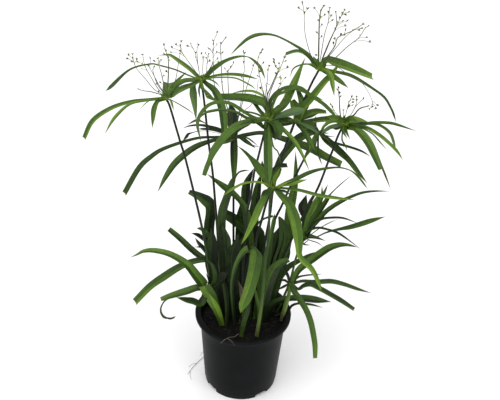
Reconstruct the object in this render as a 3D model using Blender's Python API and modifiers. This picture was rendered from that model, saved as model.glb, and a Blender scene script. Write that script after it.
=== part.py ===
"""Potted umbrella papyrus, in metres, +Z up, origin at the middle of the pot's underside.

Thin stems rise from the soil, each with a whorl of long narrow leaves at its top, and the tall ones carry
a head of fine flower rays too. Every leaf is set out on a reference picture of the plant, 500 by 400 dots,
taken from EYE: a leaf is a row of (across, down, seen width) picture points from its root to its tip, and
its reach says how many millimetres the tip stands behind its root, or in front of it where negative.
"""

import math

import bmesh
import bpy
from mathutils import Vector

MM = 0.001
GAP = 0.3 * MM

# Pot: a 12 cm nursery pot with a rolled lip and four drain notches in its foot.
POT_HEIGHT = 110 * MM
RIM_RADIUS = 60 * MM
MOUTH_RADIUS = 54 * MM
FOOT_RADIUS = 46 * MM
WALL = 1.6 * MM
LIP_HEIGHT = 5 * MM
FOOT_STEP = 7 * MM
NOTCH_WIDTH = 18 * MM
NOTCH_HEIGHT = 5 * MM
NOTCH_BEARINGS = (-142, -52, 38, 128)
SOIL_TOP = 97 * MM
TURN_STEPS = 36

# The eye of the reference picture, its lens as a focal length in dots, and how it is tipped.
EYE = Vector((1.7 * MM, -903.4 * MM, 899.8 * MM))
FOCAL = 951.8
PITCH = math.radians(34.52)
ROLL = math.radians(2.78)
CENTRE = (250, 200)

# Stems: their radii at the foot, half way up and under the crown, in mm.
STEM_RADII = (1.7, 1.45, 1.2)
STEM_STEPS = 5

# The knot where a crown's leaves meet, and the bead above it where its flower rays meet.
KNOT_RADIUS = 3.2 * MM
KNOT_HEIGHT = 3.6 * MM
BEAD_RADIUS = 1.7 * MM

# Leaves: flat above and keeled below. A leaf's face is turned part of the way to the eye, and its real
# width is worked out from the width seen, down to the least share of it that shows.
LEAF_THICKNESS = 0.9 * MM
FULL_KEEL_WIDTH = 3.6 * MM
KEEL_SHARES = (0.4, 1.5)
LEAF_STEP = 18 * MM
LEAF_STEPS = (3, 8)
LEAF_WIDTHS = (0.5 * MM, 15 * MM)
TURN_TO_EYE = 0.7
LEAST_SHOWN = 0.4
FOOT_WIDTH = 0.8
KNOT_WIDTH = 0.6
FOOT_LIFT = 1.1 * MM

# Flower rays, each a thin stalk with one spikelet at its end.
RAY_RADIUS = 0.45 * MM
SPIKELET_RADIUS = 1.3 * MM

# Each crown: its knot as (across, down, mm behind the pot's axis), its stem's foot on the soil with the
# picture points it passes, its leaves as (reach, points), and its flower rays as (reach, fork, tip). A short
# shoot wears a sheath of leaf bases, so it has its own three stem radii.
CROWNS = {
    "left": {
        "knot": (166.5, 98.5, 10),
        "stem": [(219, 320), (203, 240), (194, 190), (180.5, 141), (170, 107)],
        "leaves": [
            (-15, [(150, 99.5, 3), (130, 101.5, 3), (110, 108, 4), (93, 120, 4.5), (84.5, 137.5, 3.5)]),
            (-55, [(146, 100, 2), (130, 103.5, 2), (116, 117, 3), (106, 134.5, 0)]),
            (-35, [(157, 99, 3), (152.7, 112, 4.5), (152.3, 127, 0)]),
            (-35, [(170.5, 100, 3), (172.5, 105, 3), (174, 110.5, 0)]),
            (-20, [(177, 103, 1), (187, 109, 1), (196, 115.5, 0)]),
            (-40, [(154, 98.5, 1), (146, 103, 1), (139, 110.5, 0)]),
            (50, [(167.5, 92, 8), (169.5, 82, 10)]),
            (55, [(170, 92, 2), (178, 81, 3), (187, 71, 0)]),
        ],
        "rays": [
            (0, (136, 67), (129, 55.5)),
            (12, (141, 64), (132.5, 54)),
            (-8, (148, 66), (142.5, 55)),
            (15, (153.5, 66.5), (150, 59)),
            (5, (160, 64), (158, 56)),
            (20, (166, 58), (163.5, 45.5)),
            (5, (172, 66), (175, 57)),
            (-20, (147, 92), (139.5, 89.5)),
        ],
    },
    "back_left": {
        "knot": (201, 79.5, 40),
        "stem": [(225, 317), (218, 240), (214, 190), (209, 145), (204, 100)],
        "leaves": [
            (10, [(185, 72.5, 1.5), (155, 64.5, 1.5), (130, 69.5, 2), (112, 85.5, 3.5), (105.5, 91, 0)]),
            (45, [(190, 70, 4), (180, 62, 4), (170, 55.5, 2), (158, 55, 0)]),
            (30, [(212, 70, 3), (230, 59, 4), (249, 57, 3), (261, 68, 3.5), (265, 79, 0)]),
            (5, [(215, 75.5, 2), (230, 74, 3), (245, 75.5, 3), (259, 79.5, 0)]),
            (-25, [(215, 77.5, 1.5), (235, 78, 1.5), (250, 85, 1.5), (256, 89.5, 0)]),
            (-30, [(208, 79, 1.5), (215, 82, 1.5), (220, 87, 0)]),
            (-60, [(210, 84, 5), (219, 96, 8), (223.5, 112, 8), (226, 135, 7), (228, 146, 4)]),
            (-35, [(196, 83, 4), (193.5, 92, 6), (193.5, 105, 5), (196, 120, 0)]),
            (-50, [(203, 87, 2), (208, 92, 3), (216, 99.5, 0)]),
            (-40, [(190, 79, 3), (181, 82, 5), (173, 89, 4), (167.5, 97, 0)]),
            (-60, [(192, 83, 3), (185, 87, 4.5), (173, 96.5, 0)]),
        ],
        "rays": [
            (15, (181, 56), (180.5, 41.5)),
            (0, (172, 60), (171.5, 49)),
            (25, (190, 56), (188.5, 45.5)),
            (5, (197, 60), (198.5, 46)),
            (20, (203, 63), (203.5, 55)),
            (-10, (208, 64), (209, 53)),
        ],
    },
    "back": {
        "knot": (234, 137, 55),
        "stem": [(234, 311), (233.5, 240), (233.5, 192), (233.5, 160)],
        "leaves": [
            (-20, [(215, 137, 2), (195, 138.5, 2.5), (165, 148, 4), (138, 168, 5), (124.5, 193.5, 4.5)]),
            (-50, [(216, 139.5, 3), (195, 146, 6), (175, 160.5, 6.5), (157.5, 191, 0)]),
            (20, [(222, 130.5, 2), (200, 124.5, 3), (182, 128.5, 0)]),
            (5, [(222, 133, 2), (206, 129.5, 2.5), (193, 132, 2), (183.5, 141, 0)]),
            (40, [(218, 125, 1.5), (198, 118, 2), (187, 124.5, 0)]),
            (40, [(238, 133, 2), (243, 127, 3), (250, 124, 0)]),
            (-15, [(245, 135.5, 4), (258, 134, 5.5), (278, 137, 5.5), (299, 145, 6.5), (320, 155, 7),
                   (341, 164.5, 5)]),
            (-30, [(242, 139, 3), (250, 143, 3), (258, 151, 0)]),
            (-50, [(234, 148, 6), (234, 165, 7), (234, 188, 0)]),
        ],
        "rays": [
            (10, (218, 60), (213.5, 41)),
            (0, (222, 55), (217.5, 32.5)),
            (15, (226, 60), (225.5, 38)),
            (0, (215, 66), (209, 49)),
            (20, (231, 78), (230, 62)),
            (5, (240, 84), (244, 62)),
        ],
    },
    "front": {
        "knot": (268, 118.5, -25),
        "stem": [(241, 322), (243.5, 260), (248, 205), (252, 182), (257, 162), (263, 138)],
        "leaves": [
            (-50, [(268, 132, 8), (268, 150, 9), (268.3, 168, 8.5), (268.7, 183, 3)]),
            (-55, [(254, 120, 5), (238, 125, 7), (226, 134, 8), (213, 153, 6), (204, 176, 4)]),
            (10, [(255, 117, 3), (240, 109, 4), (224, 102.5, 3.5), (208, 105, 3.5), (197.5, 115, 3.5),
                  (196.5, 127, 3.5), (201, 142, 0)]),
            (-15, [(250, 117.5, 2), (232, 111.5, 2.5), (214, 110.5, 2.5), (202, 115, 0)]),
            (65, [(262, 104.5, 6), (252, 99.5, 7), (237, 97, 7.5), (219, 97, 5)]),
            (60, [(263, 102, 2), (254, 92.5, 3), (243, 91, 2.5), (232, 94, 0)]),
            (-40, [(256, 122, 3), (246, 122, 3), (236, 127, 0)]),
            (-55, [(279, 127, 4), (289, 138, 4), (301, 151, 4), (309, 169, 0)]),
            (-35, [(275, 132, 1.5), (279, 144, 1.5), (281, 158, 0)]),
            (-15, [(278, 114.5, 5), (289, 111.5, 8), (302, 110.5, 4)]),
            (19, [(273, 103, 3), (278.5, 90, 4), (290, 85.5, 4), (303, 87, 4), (318, 97, 4.5),
                  (338.5, 118.5, 0)]),
            (60, [(274, 100, 2), (288, 90, 3), (306, 92, 3), (324, 101, 0)]),
            (65, [(276, 113, 4), (284, 104, 7), (293, 84, 7), (305.5, 57, 0)]),
        ],
        "rays": [
            (5, (257, 78), (262, 49.5)),
            (-10, (252, 80), (253, 62)),
            (15, (266, 76), (275, 61)),
            (0, (275, 84), (286, 61)),
            (10, (248, 82), (245, 54)),
            (-15, (280, 88), (288, 70)),
        ],
    },
    "middle": {
        "knot": (291, 122, -10),
        "stem": [(257, 312), (262, 250), (272, 190), (284, 145)],
        "leaves": [
            (10, [(300, 107, 6), (315, 90, 7), (330, 75, 6), (341, 61, 0)]),
            (10, [(301, 116, 5), (314, 112, 6), (327.5, 112, 5)]),
            (-26, [(297, 135, 8), (289, 148, 9), (280, 162, 8), (273, 176, 3)]),
            (-40, [(297, 129, 5), (304, 137, 6), (313, 146, 0)]),
            (25, [(286, 112, 5), (281, 106, 5), (275, 104, 0)]),
            (45, [(292, 108, 4), (294, 98, 4), (299, 91, 0)]),
        ],
        "rays": [],
    },
    "top": {
        "knot": (319, 68.5, 5),
        "stem": [(250, 319), (254.5, 262), (268.5, 196), (292, 128), (309.5, 88)],
        "leaves": [
            (20, [(310, 57, 4), (295, 46, 3), (275, 35.5, 2.5), (255, 35.5, 2.5), (238, 46, 2),
                  (230, 55, 0)]),
            (45, [(309, 58, 3), (297, 51, 3), (284, 55, 3)]),
            (-25, [(307, 64, 1.5), (294, 68, 1.5), (289.5, 79, 0)]),
            (30, [(326, 60, 6), (335, 62, 8.5), (347, 66, 9), (360, 71, 8), (373, 76.5, 5.5)]),
            (-15, [(334, 71.5, 3), (352, 76, 3.5), (376, 91, 3.5), (390, 106, 2.5), (396, 120, 0)]),
            (-45, [(324, 77, 4), (330, 85, 5), (333.5, 96, 0)]),
            (-30, [(329, 74, 4), (338, 80, 4.5), (348, 87.5, 0)]),
            (40, [(316, 61, 4), (313, 56, 0)]),
            (-10, [(313, 65, 3), (305, 63.5, 0)]),
        ],
        "rays": [
            (10, (304.5, 13.5), (302.5, 1.5)),
            (0, (320.5, 18), (321, 10)),
            (15, (328.5, 20), (323.5, 5.5)),
            (-8, (332, 20.5), (329, 8)),
            (20, (340, 18.5), (344.5, 9.5)),
            (0, (335.5, 29), (342, 13.5)),
            (-12, (337.5, 38), (353, 30.5)),
            (15, (353, 30.5), (367.5, 26.5)),
            (5, (360.5, 36), (369.5, 43)),
            (-60, (357, 80), (373, 106)),
        ],
    },
    "right": {
        "knot": (343.5, 124, 0),
        "stem": [(272, 316), (300, 232), (316.5, 190), (327, 162), (336, 141)],
        "leaves": [
            (15, [(360, 124, 3), (385, 122.5, 3), (403, 125.5, 3), (417.5, 131.5, 0)]),
            (40, [(351, 117, 5), (360, 116.5, 5), (369, 121, 0)]),
            (-45, [(356, 128, 6), (369, 139.5, 8.5), (377, 155.5, 7.5), (381, 169.5, 4)]),
            (-20, [(360, 132, 2), (374, 148, 2), (384, 170, 2.5), (391, 189, 0)]),
            (-10, [(360, 127, 3), (378, 134, 3.5), (393, 147, 3.5), (403.5, 160, 0)]),
            (25, [(364, 123.5, 3), (382, 127, 3), (392, 136, 3.5), (395.5, 148, 0)]),
            (-30, [(358, 126, 1.5), (374, 131, 1.5), (387.5, 150, 0)]),
            (-40, [(345, 130, 4), (349, 139, 0)]),
            (-10, [(334, 119, 3), (327, 121, 3.5), (321.5, 129, 0)]),
            (-35, [(336, 127, 3), (329, 130, 3), (323, 138, 0)]),
            (25, [(334, 120, 8), (320, 120, 8), (305, 121, 3)]),
            (-50, [(340, 137, 2), (344, 145, 1.5), (347, 152, 0)]),
        ],
        "rays": [
            (0, (339, 103), (338, 86)),
            (12, (348.5, 103), (351, 95)),
            (-8, (355, 108), (357, 97)),
            (15, (360, 108), (363, 98.5)),
            (0, (336, 112), (331, 105)),
            (0, (363, 112), (373, 106)),
        ],
    },
    "front_low": {
        "knot": (273, 188, -50),
        "stem": [(257, 335), (259.4, 313), (265, 272), (269.7, 238), (271, 205)],
        "leaves": [
            (-5, [(262, 184, 2), (250, 183, 2), (236, 187, 2.5), (224, 195.5, 0)]),
            (25, [(266, 179, 5), (256, 165, 8), (246, 154, 7), (237, 145, 0)]),
            (10, [(276, 180, 3), (280.5, 169, 4)]),
            (15, [(285, 181.5, 3), (310, 172, 3.5), (332, 167.5, 3), (353, 172, 3), (367, 190, 0)]),
            (0, [(286, 184.5, 3), (296, 182, 4.5), (307, 179.5, 0)]),
            (-15, [(290, 188.5, 3), (310, 192, 3.5), (335, 197.5, 3), (356, 200, 0)]),
            (-55, [(283, 195, 6), (291.3, 210, 9), (297.3, 230, 9), (299.2, 248, 7), (301, 258, 4.5),
                   (311, 267, 6), (317.5, 277, 5), (321.5, 290, 0)]),
            (-35, [(265, 196, 5), (259, 209, 7), (254.5, 220, 6), (249, 231, 4), (241, 243.5, 0)]),
            (12, [(270, 176, 3), (277, 165, 4), (287.5, 165.5, 4)]),
        ],
        "rays": [],
    },
    "right_back": {
        "knot": (318.5, 133, 35),
        "stem": [(263, 313), (271, 235), (283, 203), (297, 173), (308, 152)],
        "leaves": [
            (-45, [(328, 145, 5), (345, 156, 5), (358, 169, 5), (368, 182.5, 0)]),
            (-5, [(332, 142, 3), (348, 146, 3), (371, 157, 0)]),
            (20, [(325, 132, 3), (337, 133.5, 0)]),
            (-40, [(318, 144, 2), (319, 156, 2), (322.5, 166, 0)]),
            (5, [(309, 129, 5), (299, 127, 5), (293, 131, 0)]),
            (30, [(313, 126, 4), (306, 124, 4), (301, 125, 0)]),
            (-30, [(311, 141, 4), (305, 148, 4), (302, 158, 0)]),
        ],
        "rays": [],
    },
    "right_low": {
        "knot": (304, 237, 5),
        "stem": [(277, 312), (289.5, 283), (296, 258)],
        "leaves": [
            (25, [(314, 225, 5), (329, 209, 5), (345, 199, 4.5), (362, 192, 3), (390, 190.5, 0)]),
            (-5, [(316, 221, 4), (328, 217, 3), (343, 218, 2), (358, 223, 0)]),
            (-30, [(316, 236, 1.5), (332, 230.5, 3), (352, 226, 6), (370, 221, 5), (385.5, 216.5, 0)]),
            (-15, [(312, 229, 3), (322, 227.5, 2.5), (340, 234, 2.5), (362, 250, 0)]),
            (-45, [(312, 236, 5), (318, 237.5, 4), (326, 241, 0)]),
            (30, [(309, 222, 6), (315, 208, 8), (321, 194, 0)]),
            (60, [(317, 215, 5), (332, 194, 3.5), (354, 173, 0)]),
            (45, [(303, 220, 5), (304, 208, 8), (307.5, 195, 0)]),
            (50, [(307, 216, 5), (313, 196, 0)]),
            (35, [(315, 212, 5), (321, 196, 4), (322, 184.5, 0)]),
            (45, [(318, 206, 3), (323, 194, 3), (328, 184.5, 0)]),
            (-40, [(300, 243, 2), (304, 243, 1.5), (311, 245, 0)]),
        ],
        "rays": [],
    },
    "right_shoot": {
        "knot": (290, 284, -22),
        "stem": [(280.5, 320), (285, 303)],
        "sheath": (2.4, 4.2, 1.8),
        "leaves": [
            (25, [(299, 272, 6), (312, 260, 7), (322, 253, 7), (333, 247.3, 6.5), (344, 245, 4),
                  (358, 247.2, 0)]),
            (10, [(303, 281, 3), (322, 281.3, 4), (338, 281.2, 4.5), (350, 284.7, 4.5), (371, 292.8, 0)]),
            (-20, [(300, 284.5, 3), (311, 283.5, 5), (322, 289.5, 4.5), (338, 298, 4.5),
                   (354.5, 309.3, 3.5)]),
            (-50, [(297, 293, 6), (303.3, 304, 6), (309, 318, 6), (313, 334, 5.5), (315.3, 348, 5),
                   (315, 357.5, 3.5)]),
            (20, [(301, 277, 2), (312, 275, 1.5), (323, 274, 0)]),
            (10, [(284, 280, 2.5), (277, 281.5, 0)]),
            (-10, [(283, 288, 2.5), (275, 291, 0)]),
            (25, [(288, 276, 3), (283, 268, 3), (280, 262, 0)]),
        ],
        "rays": [],
    },
    "left_shoot": {
        "knot": (207, 288, -20),
        "stem": [(221.6, 323.5), (214, 306)],
        "sheath": (1.8, 4.2, 1.8),
        "leaves": [
            (20, [(201, 279.5, 8), (194, 271, 8), (186, 263, 7.5), (171, 255.3, 6), (152, 250.5, 4.5),
                  (131, 257.3, 0)]),
            (-20, [(196, 288, 8), (180, 293.5, 7), (168, 297.5, 5.5), (163.5, 301, 1.5), (160.5, 309, 1),
                   (163.5, 317, 1.5), (175, 318, 1.2)]),
            (-35, [(202, 299, 7), (190, 301.5, 5), (177, 297.5, 0)]),
            (5, [(211, 276, 7), (209, 265, 4), (205, 260, 0)]),
            (-5, [(216, 281, 7), (223, 276, 8), (228, 280, 0)]),
            (8, [(209, 277, 4), (206, 270, 0)]),
        ],
        "rays": [],
    },
    "inner_left": {
        "knot": (218, 260, 24),
        "stem": [(229, 307.5), (224, 285)],
        "sheath": (2.2, 3, 1.8),
        "leaves": [
            (-30, [(203, 259.5, 6), (186, 264.5, 7), (166, 275, 6.5), (150, 286.5, 7), (134.5, 301, 7)]),
            (25, [(206, 257, 5), (197, 251.5, 6), (183, 239, 6), (169, 228.5, 5)]),
            (30, [(212, 245, 9), (211, 225, 11), (212, 208, 13), (204, 199, 8), (189, 192.5, 4.5)]),
            (-10, [(206, 243, 5), (200, 236, 4), (191.5, 233.3, 0)]),
            (10, [(208, 244, 4), (204, 233, 4), (197.5, 228, 0)]),
            (-25, [(207, 251, 4), (200, 245, 4), (196, 237.5, 0)]),
        ],
        "rays": [],
    },
}

# Leaves that rise from the soil by themselves: across and down of the foot, reach, points.
SOIL_LEAVES = {
    "curling": (232, 302, 5, [(223, 262, 8), (221.5, 235, 9), (221.5, 218, 9), (225, 197, 8), (231, 181, 5),
                               (239, 172.5, 2), (249, 170.5, 0)]),
    "tall_left": (239, 303, 30, [(240, 262, 8), (242, 215, 9), (246, 188, 7), (255.5, 168.5, 0)]),
    "tall_right": (247, 303, 30, [(249, 262, 8), (251, 215, 8), (255, 192, 6), (261, 175, 0)]),
    "crossing": (250, 310, 15, [(249, 262, 8), (245, 222, 7), (239, 201, 7), (225, 186, 6), (207, 174, 0)]),
    "bridge": (258, 302, 6, [(262, 275, 9), (257, 241, 11), (244, 224.5, 10), (230, 216, 8),
                             (220, 206, 3)]),
    "hanging": (235, 325, -25, [(233, 285, 6), (239, 257, 8), (249, 248, 9), (252, 272, 10), (246, 297, 6),
                                (240, 313, 0)]),
    "deep": (262, 307, 8, [(262, 275, 10), (261, 250, 13), (258, 238, 11), (256, 230.5, 4)]),
    "right_broad": (266, 316, 10, [(272, 290, 9), (282, 258, 12), (285, 232, 12), (277, 217, 3)]),
    "right_folded": (262, 322, -12, [(264, 298, 8), (271, 272, 11), (288, 257, 4)]),
    "right_dark": (256, 320, 10, [(262, 285, 8), (268, 255, 7), (271, 235, 3), (273, 222, 4),
                                  (272.5, 214, 0)]),
    "spear": (270, 309, 30, [(281, 270, 6), (293, 220, 5), (296, 185, 5), (295.5, 151, 0)]),
    "low_right": (265, 320, 3, [(273, 304, 7), (289, 298.5, 7), (310, 298, 7), (321, 299.7, 5.5),
                                (331, 301.8, 0)]),
    "front_young": (241, 337, 8, [(245, 322, 4.5), (250, 303, 0)]),
    "left_young": (226, 327, 12, [(227, 308, 4), (225, 288, 5), (219, 272, 0)]),
    "middle_dark": (230, 318, 0, [(234, 290, 9), (232, 265, 12), (234, 246, 9), (238, 232, 0)]),
    "right_low": (270, 311, 5, [(276, 284, 4), (285, 271.5, 5), (297, 262, 4), (308, 255, 4),
                                (320, 251, 0)]),
    "over_rim": (275, 315.5, -20, [(290, 304, 3), (299, 303.5, 2.5), (311, 304.5, 2.5), (323, 307.5, 0)]),
}

# Thin roots, each a row of (bearing about the pot from its front in degrees, distance from its axis in mm,
# height in mm): one leaves through a drain notch and lies on the floor, one hangs over the front rim.
ROOTS = {
    "root_from_drain": [(-142, 43.5, 3.4), (-142, 51, 2.6), (-131, 56, 1.3), (-113, 58, 1.3),
                        (-97, 63, 1.3),
                        (-85, 69, 1.3)],
    "root_over_rim": [(-8, 30, 98.2), (-12, 44, 105), (-16, 53, 111.2), (-20, 59, 111.4),
                      (-22, 61.4, 109.5),
                      (-24, 61.2, 105)],
}
ROOT_RADIUS = 0.6 * MM
ROOT_STEPS = 7


def clear_scene():
    for old in list(bpy.data.objects):
        bpy.data.objects.remove(old)


def collection(name, hidden=False):
    group = bpy.data.collections.new(name)
    group.hide_render = hidden
    bpy.context.scene.collection.children.link(group)
    return group


def material(name, colour, roughness):
    made = bpy.data.materials.new(name)
    made.use_nodes = True
    shader = made.node_tree.nodes["Principled BSDF"]
    shader.inputs["Base Color"].default_value = (*colour, 1)
    shader.inputs["Roughness"].default_value = roughness
    return made


def sight(across, down):
    """The direction in which the eye sees this picture point."""
    du, dv = across - CENTRE[0], down - CENTRE[1]
    right = du * math.cos(ROLL) + dv * math.sin(ROLL)
    below = dv * math.cos(ROLL) - du * math.sin(ROLL)
    ahead = Vector((0, math.cos(PITCH), -math.sin(PITCH)))
    up = Vector((0, math.sin(PITCH), math.cos(PITCH)))
    return ahead * FOCAL + Vector((1, 0, 0)) * right - up * below


def seen_at(across, down, behind):
    """The place seen at this picture point and this far behind the pot's axis."""
    ray = sight(across, down)
    return EYE + ray * ((behind - EYE.y) / ray.y)


def seen_on(across, down, height):
    """The place seen at this picture point at this height."""
    ray = sight(across, down)
    return EYE + ray * ((height - EYE.z) / ray.z)


def dot_size(place):
    """How many metres one picture dot spans at this place."""
    ahead = Vector((0, math.cos(PITCH), -math.sin(PITCH)))
    return (place - EYE).dot(ahead) / FOCAL


def set_out(root, reach, points):
    """Places of a leaf's or ray's picture points: its depth changes evenly from its root to its tip."""
    start = Vector(project(root))
    steps = [start] + [Vector(point[:2]) for point in points]
    runs = [(b - a).length for a, b in zip(steps, steps[1:])]
    places, run = [], 0
    for point, step in zip(points, runs):
        run += step
        places.append(seen_at(point[0], point[1], root.y + reach * MM * run / sum(runs)))
    return places


def project(place):
    """The picture point at which a place is seen."""
    off = place - EYE
    depth = off.dot(Vector((0, math.cos(PITCH), -math.sin(PITCH))))
    right = off.x * FOCAL / depth
    below = -off.dot(Vector((0, math.sin(PITCH), math.cos(PITCH)))) * FOCAL / depth
    return (
        CENTRE[0] + right * math.cos(ROLL) - below * math.sin(ROLL),
        CENTRE[1] + right * math.sin(ROLL) + below * math.cos(ROLL),
    )


def smooth(values, count):
    """Even steps along a smooth curve through values, which are vectors of any one length."""
    knots = [values[0] * 2 - values[1], *values, values[-1] * 2 - values[-2]]
    fine = []
    for a, b, c, d in zip(knots, knots[1:], knots[2:], knots[3:]):
        for step in range(12):
            t = step / 12
            fine.append(
                (b * 2 + (c - a) * t + (a * 2 - b * 5 + c * 4 - d) * t**2 + (b * 3 - a - c * 3 + d) * t**3) / 2
            )
    fine.append(values[-1])
    runs = [0.0]
    for a, b in zip(fine, fine[1:]):
        runs.append(runs[-1] + (b - a).xyz.length)
    picked, place = [], 0
    for step in range(count + 1):
        goal = runs[-1] * step / count
        while place < len(runs) - 2 and runs[place + 1] < goal:
            place += 1
        part = (goal - runs[place]) / max(runs[place + 1] - runs[place], 1e-9)
        picked.append(fine[place].lerp(fine[place + 1], min(part, 1)))
    return picked


def loft(bm, sections):
    """A closed skin through outlines of one point count that each turn anticlockwise as seen from ahead."""
    rings = [[bm.verts.new(point) for point in section] for section in sections]
    bm.faces.new(rings[0][::-1])
    bm.faces.new(rings[-1])
    for a, b in zip(rings, rings[1:]):
        for i in range(len(a)):
            j = (i + 1) % len(a)
            bm.faces.new((a[i], a[j], b[j], b[i]))


def add_leaf(bm, root, reach, points, from_soil=False):
    """A keeled leaf from root along its picture points, flat above, whose width is as the picture shows it."""
    places = set_out(root, reach, points)
    widths = [points[0][2] * FOOT_WIDTH] + [point[2] for point in points]
    chord = places[-1] - root
    side = Vector((chord.y, -chord.x, 0)).normalized()
    if from_soil and chord.z > chord.xy.length:
        side = Vector((1, 0, 0))
    if not from_soil:
        heading = Vector((places[0].x - root.x, places[0].y - root.y, 0)).normalized()
        places.insert(0, root + heading * KNOT_RADIUS + Vector((0, 0, KNOT_RADIUS / 6)))
        widths.insert(0, widths[0] * KNOT_WIDTH)
        root = root + heading * KNOT_RADIUS / 3
    rows = [Vector((*place, width * dot_size(place))) for place, width in zip([root, *places], widths)]
    length = sum((b - a).xyz.length for a, b in zip(rows, rows[1:]))
    fewest, most = LEAF_STEPS
    line = smooth(rows, min(most, max(fewest, len(points), round(length / LEAF_STEP))))
    aheads = [
        (line[min(i + 1, len(line) - 1)].xyz - line[max(i - 1, 0)].xyz).normalized() for i in range(len(line))
    ]
    if sum(side.cross(ahead).z for ahead in aheads) < 0:
        side = -side
    faced = [ahead.cross(row.xyz - EYE).normalized() for ahead, row in zip(aheads, line)]
    if sum(side.dot(face) for face in faced) < 0:
        faced = [-face for face in faced]
    sections = []
    for row, ahead, face in zip(line, aheads, faced):
        across = (side - ahead * side.dot(ahead)).normalized() + face * TURN_TO_EYE
        across.normalize()
        above = across.cross(ahead)
        width = row.w / max(across.dot(face), LEAST_SHOWN)
        half = min(max(width, LEAF_WIDTHS[0]), LEAF_WIDTHS[1]) / 2
        keel = above * LEAF_THICKNESS * min(KEEL_SHARES[1], KEEL_SHARES[0] + half / FULL_KEEL_WIDTH)
        sections.append((row.xyz - across * half, row.xyz + across * half, row.xyz - keel))
    loft(bm, sections)


def add_ray(bm, root, reach, fork, tip):
    """A flower ray: a thin stalk that ends in a spikelet."""
    middle, end = set_out(root, reach, [fork, tip])
    back = (middle - end).normalized() * SPIKELET_RADIUS
    line = [root, middle, end + back * 3, end + back, end]
    radii = [RAY_RADIUS, RAY_RADIUS, RAY_RADIUS, SPIKELET_RADIUS, RAY_RADIUS * 0.6]
    sections = []
    for i, place in enumerate(line):
        ahead = (line[min(i + 1, len(line) - 1)] - line[max(i - 1, 0)]).normalized()
        across = ahead.cross(Vector((0, 1, 0))).normalized()
        around = ahead.cross(across)
        sections.append(
            [
                place + (across * math.cos(angle) + around * math.sin(angle)) * radii[i]
                for angle in (0, math.tau / 3, 2 * math.tau / 3)
            ]
        )
    loft(bm, sections)


def object_of(bm, name, group, finish):
    mesh = bpy.data.meshes.new(name)
    bm.to_mesh(mesh)
    bm.free()
    mesh.materials.append(finish)
    made = bpy.data.objects.new(name, mesh)
    group.objects.link(made)
    return made


def fuse(name, core, limbs, group, helpers, finish):
    """One body from a core and the limbs that grow out of it."""
    body = object_of(core, name, group, finish)
    grown = object_of(limbs, name + "_limbs", helpers, finish)
    grown.hide_render = True
    grown.display_type = "WIRE"
    joined = body.modifiers.new("fuse", "BOOLEAN")
    joined.operation = "UNION"
    joined.object = grown
    joined.use_self = True
    return body


def tube(name, places, radii, group, finish):
    """A round stalk through places, tapered by its radii, as a curve with filled caps."""
    data = bpy.data.curves.new(name, "CURVE")
    data.dimensions = "3D"
    data.bevel_depth = 1
    data.bevel_resolution = 1
    data.use_fill_caps = True
    spline = data.splines.new("POLY")
    spline.points.add(len(places) - 1)
    for point, place, radius in zip(spline.points, places, radii):
        point.co = (*place, 1)
        point.radius = radius
    data.materials.append(finish)
    made = bpy.data.objects.new(name, data)
    group.objects.link(made)
    return made


def turned(name, profile, steps, group, finish):
    """A turned shape from a closed profile of (radius, height) points that runs down its outer side."""
    bm = bmesh.new()
    ring = [bm.verts.new((radius, 0, height)) for radius, height in profile]
    for a, b in zip(ring, ring[1:] + ring[:1]):
        bm.edges.new((a, b))
    made = object_of(bm, name, group, finish)
    spin = made.modifiers.new("turn", "SCREW")
    spin.steps = spin.render_steps = steps
    spin.use_merge_vertices = True
    spin.merge_threshold = 0.0001
    spin.use_normal_calculate = True
    return made


def pot(group, helpers, finish):
    lip = RIM_RADIUS - 1.2 * MM
    profile = [
        (lip, POT_HEIGHT),
        (RIM_RADIUS, POT_HEIGHT - 1.2 * MM),
        (RIM_RADIUS, POT_HEIGHT - LIP_HEIGHT),
        (RIM_RADIUS - WALL, POT_HEIGHT - LIP_HEIGHT),
        (RIM_RADIUS - WALL, POT_HEIGHT - 2.4 * MM),
        (MOUTH_RADIUS, POT_HEIGHT - 3.4 * MM),
        (FOOT_RADIUS + 0.8 * MM, FOOT_STEP),
        (FOOT_RADIUS, FOOT_STEP - 1 * MM),
        (FOOT_RADIUS - 0.5 * MM, 0),
        (0, 0),
        (0, 2 * MM),
        (FOOT_RADIUS - WALL - 1 * MM, 2 * MM),
        (MOUTH_RADIUS - WALL, POT_HEIGHT - 2.6 * MM),
        (MOUTH_RADIUS, POT_HEIGHT - 0.4 * MM),
    ]
    body = turned("pot", profile, TURN_STEPS, group, finish)
    for index, bearing in enumerate(NOTCH_BEARINGS):
        bm = bmesh.new()
        bmesh.ops.create_cube(bm, size=1)
        bmesh.ops.scale(bm, vec=(NOTCH_WIDTH, 8 * MM, NOTCH_HEIGHT * 2), verts=bm.verts)
        cutter = object_of(bm, f"notch_{index}", helpers, finish)
        turn = math.radians(bearing)
        cutter.location = (math.sin(turn) * FOOT_RADIUS, -math.cos(turn) * FOOT_RADIUS, 0)
        cutter.rotation_euler.z = turn
        cutter.hide_render = True
        cutter.display_type = "WIRE"
        cut = body.modifiers.new(f"notch_{index}", "BOOLEAN")
        cut.operation = "DIFFERENCE"
        cut.object = cutter
    return body


def soil(group, finish):
    """The soil fills the pot up to SOIL_TOP and keeps clear of its wall."""
    slope = (MOUTH_RADIUS - FOOT_RADIUS) / (POT_HEIGHT - FOOT_STEP)
    bottom = 2 * MM + GAP
    bm = bmesh.new()
    bmesh.ops.create_cone(
        bm,
        cap_ends=True,
        segments=TURN_STEPS,
        radius1=FOOT_RADIUS - WALL - 2 * MM,
        radius2=MOUTH_RADIUS - WALL - slope * (POT_HEIGHT - SOIL_TOP) - 1 * MM,
        depth=SOIL_TOP - bottom,
    )
    bmesh.ops.translate(bm, vec=(0, 0, (SOIL_TOP + bottom) / 2), verts=bm.verts)
    return object_of(bm, "soil", group, finish)


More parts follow.
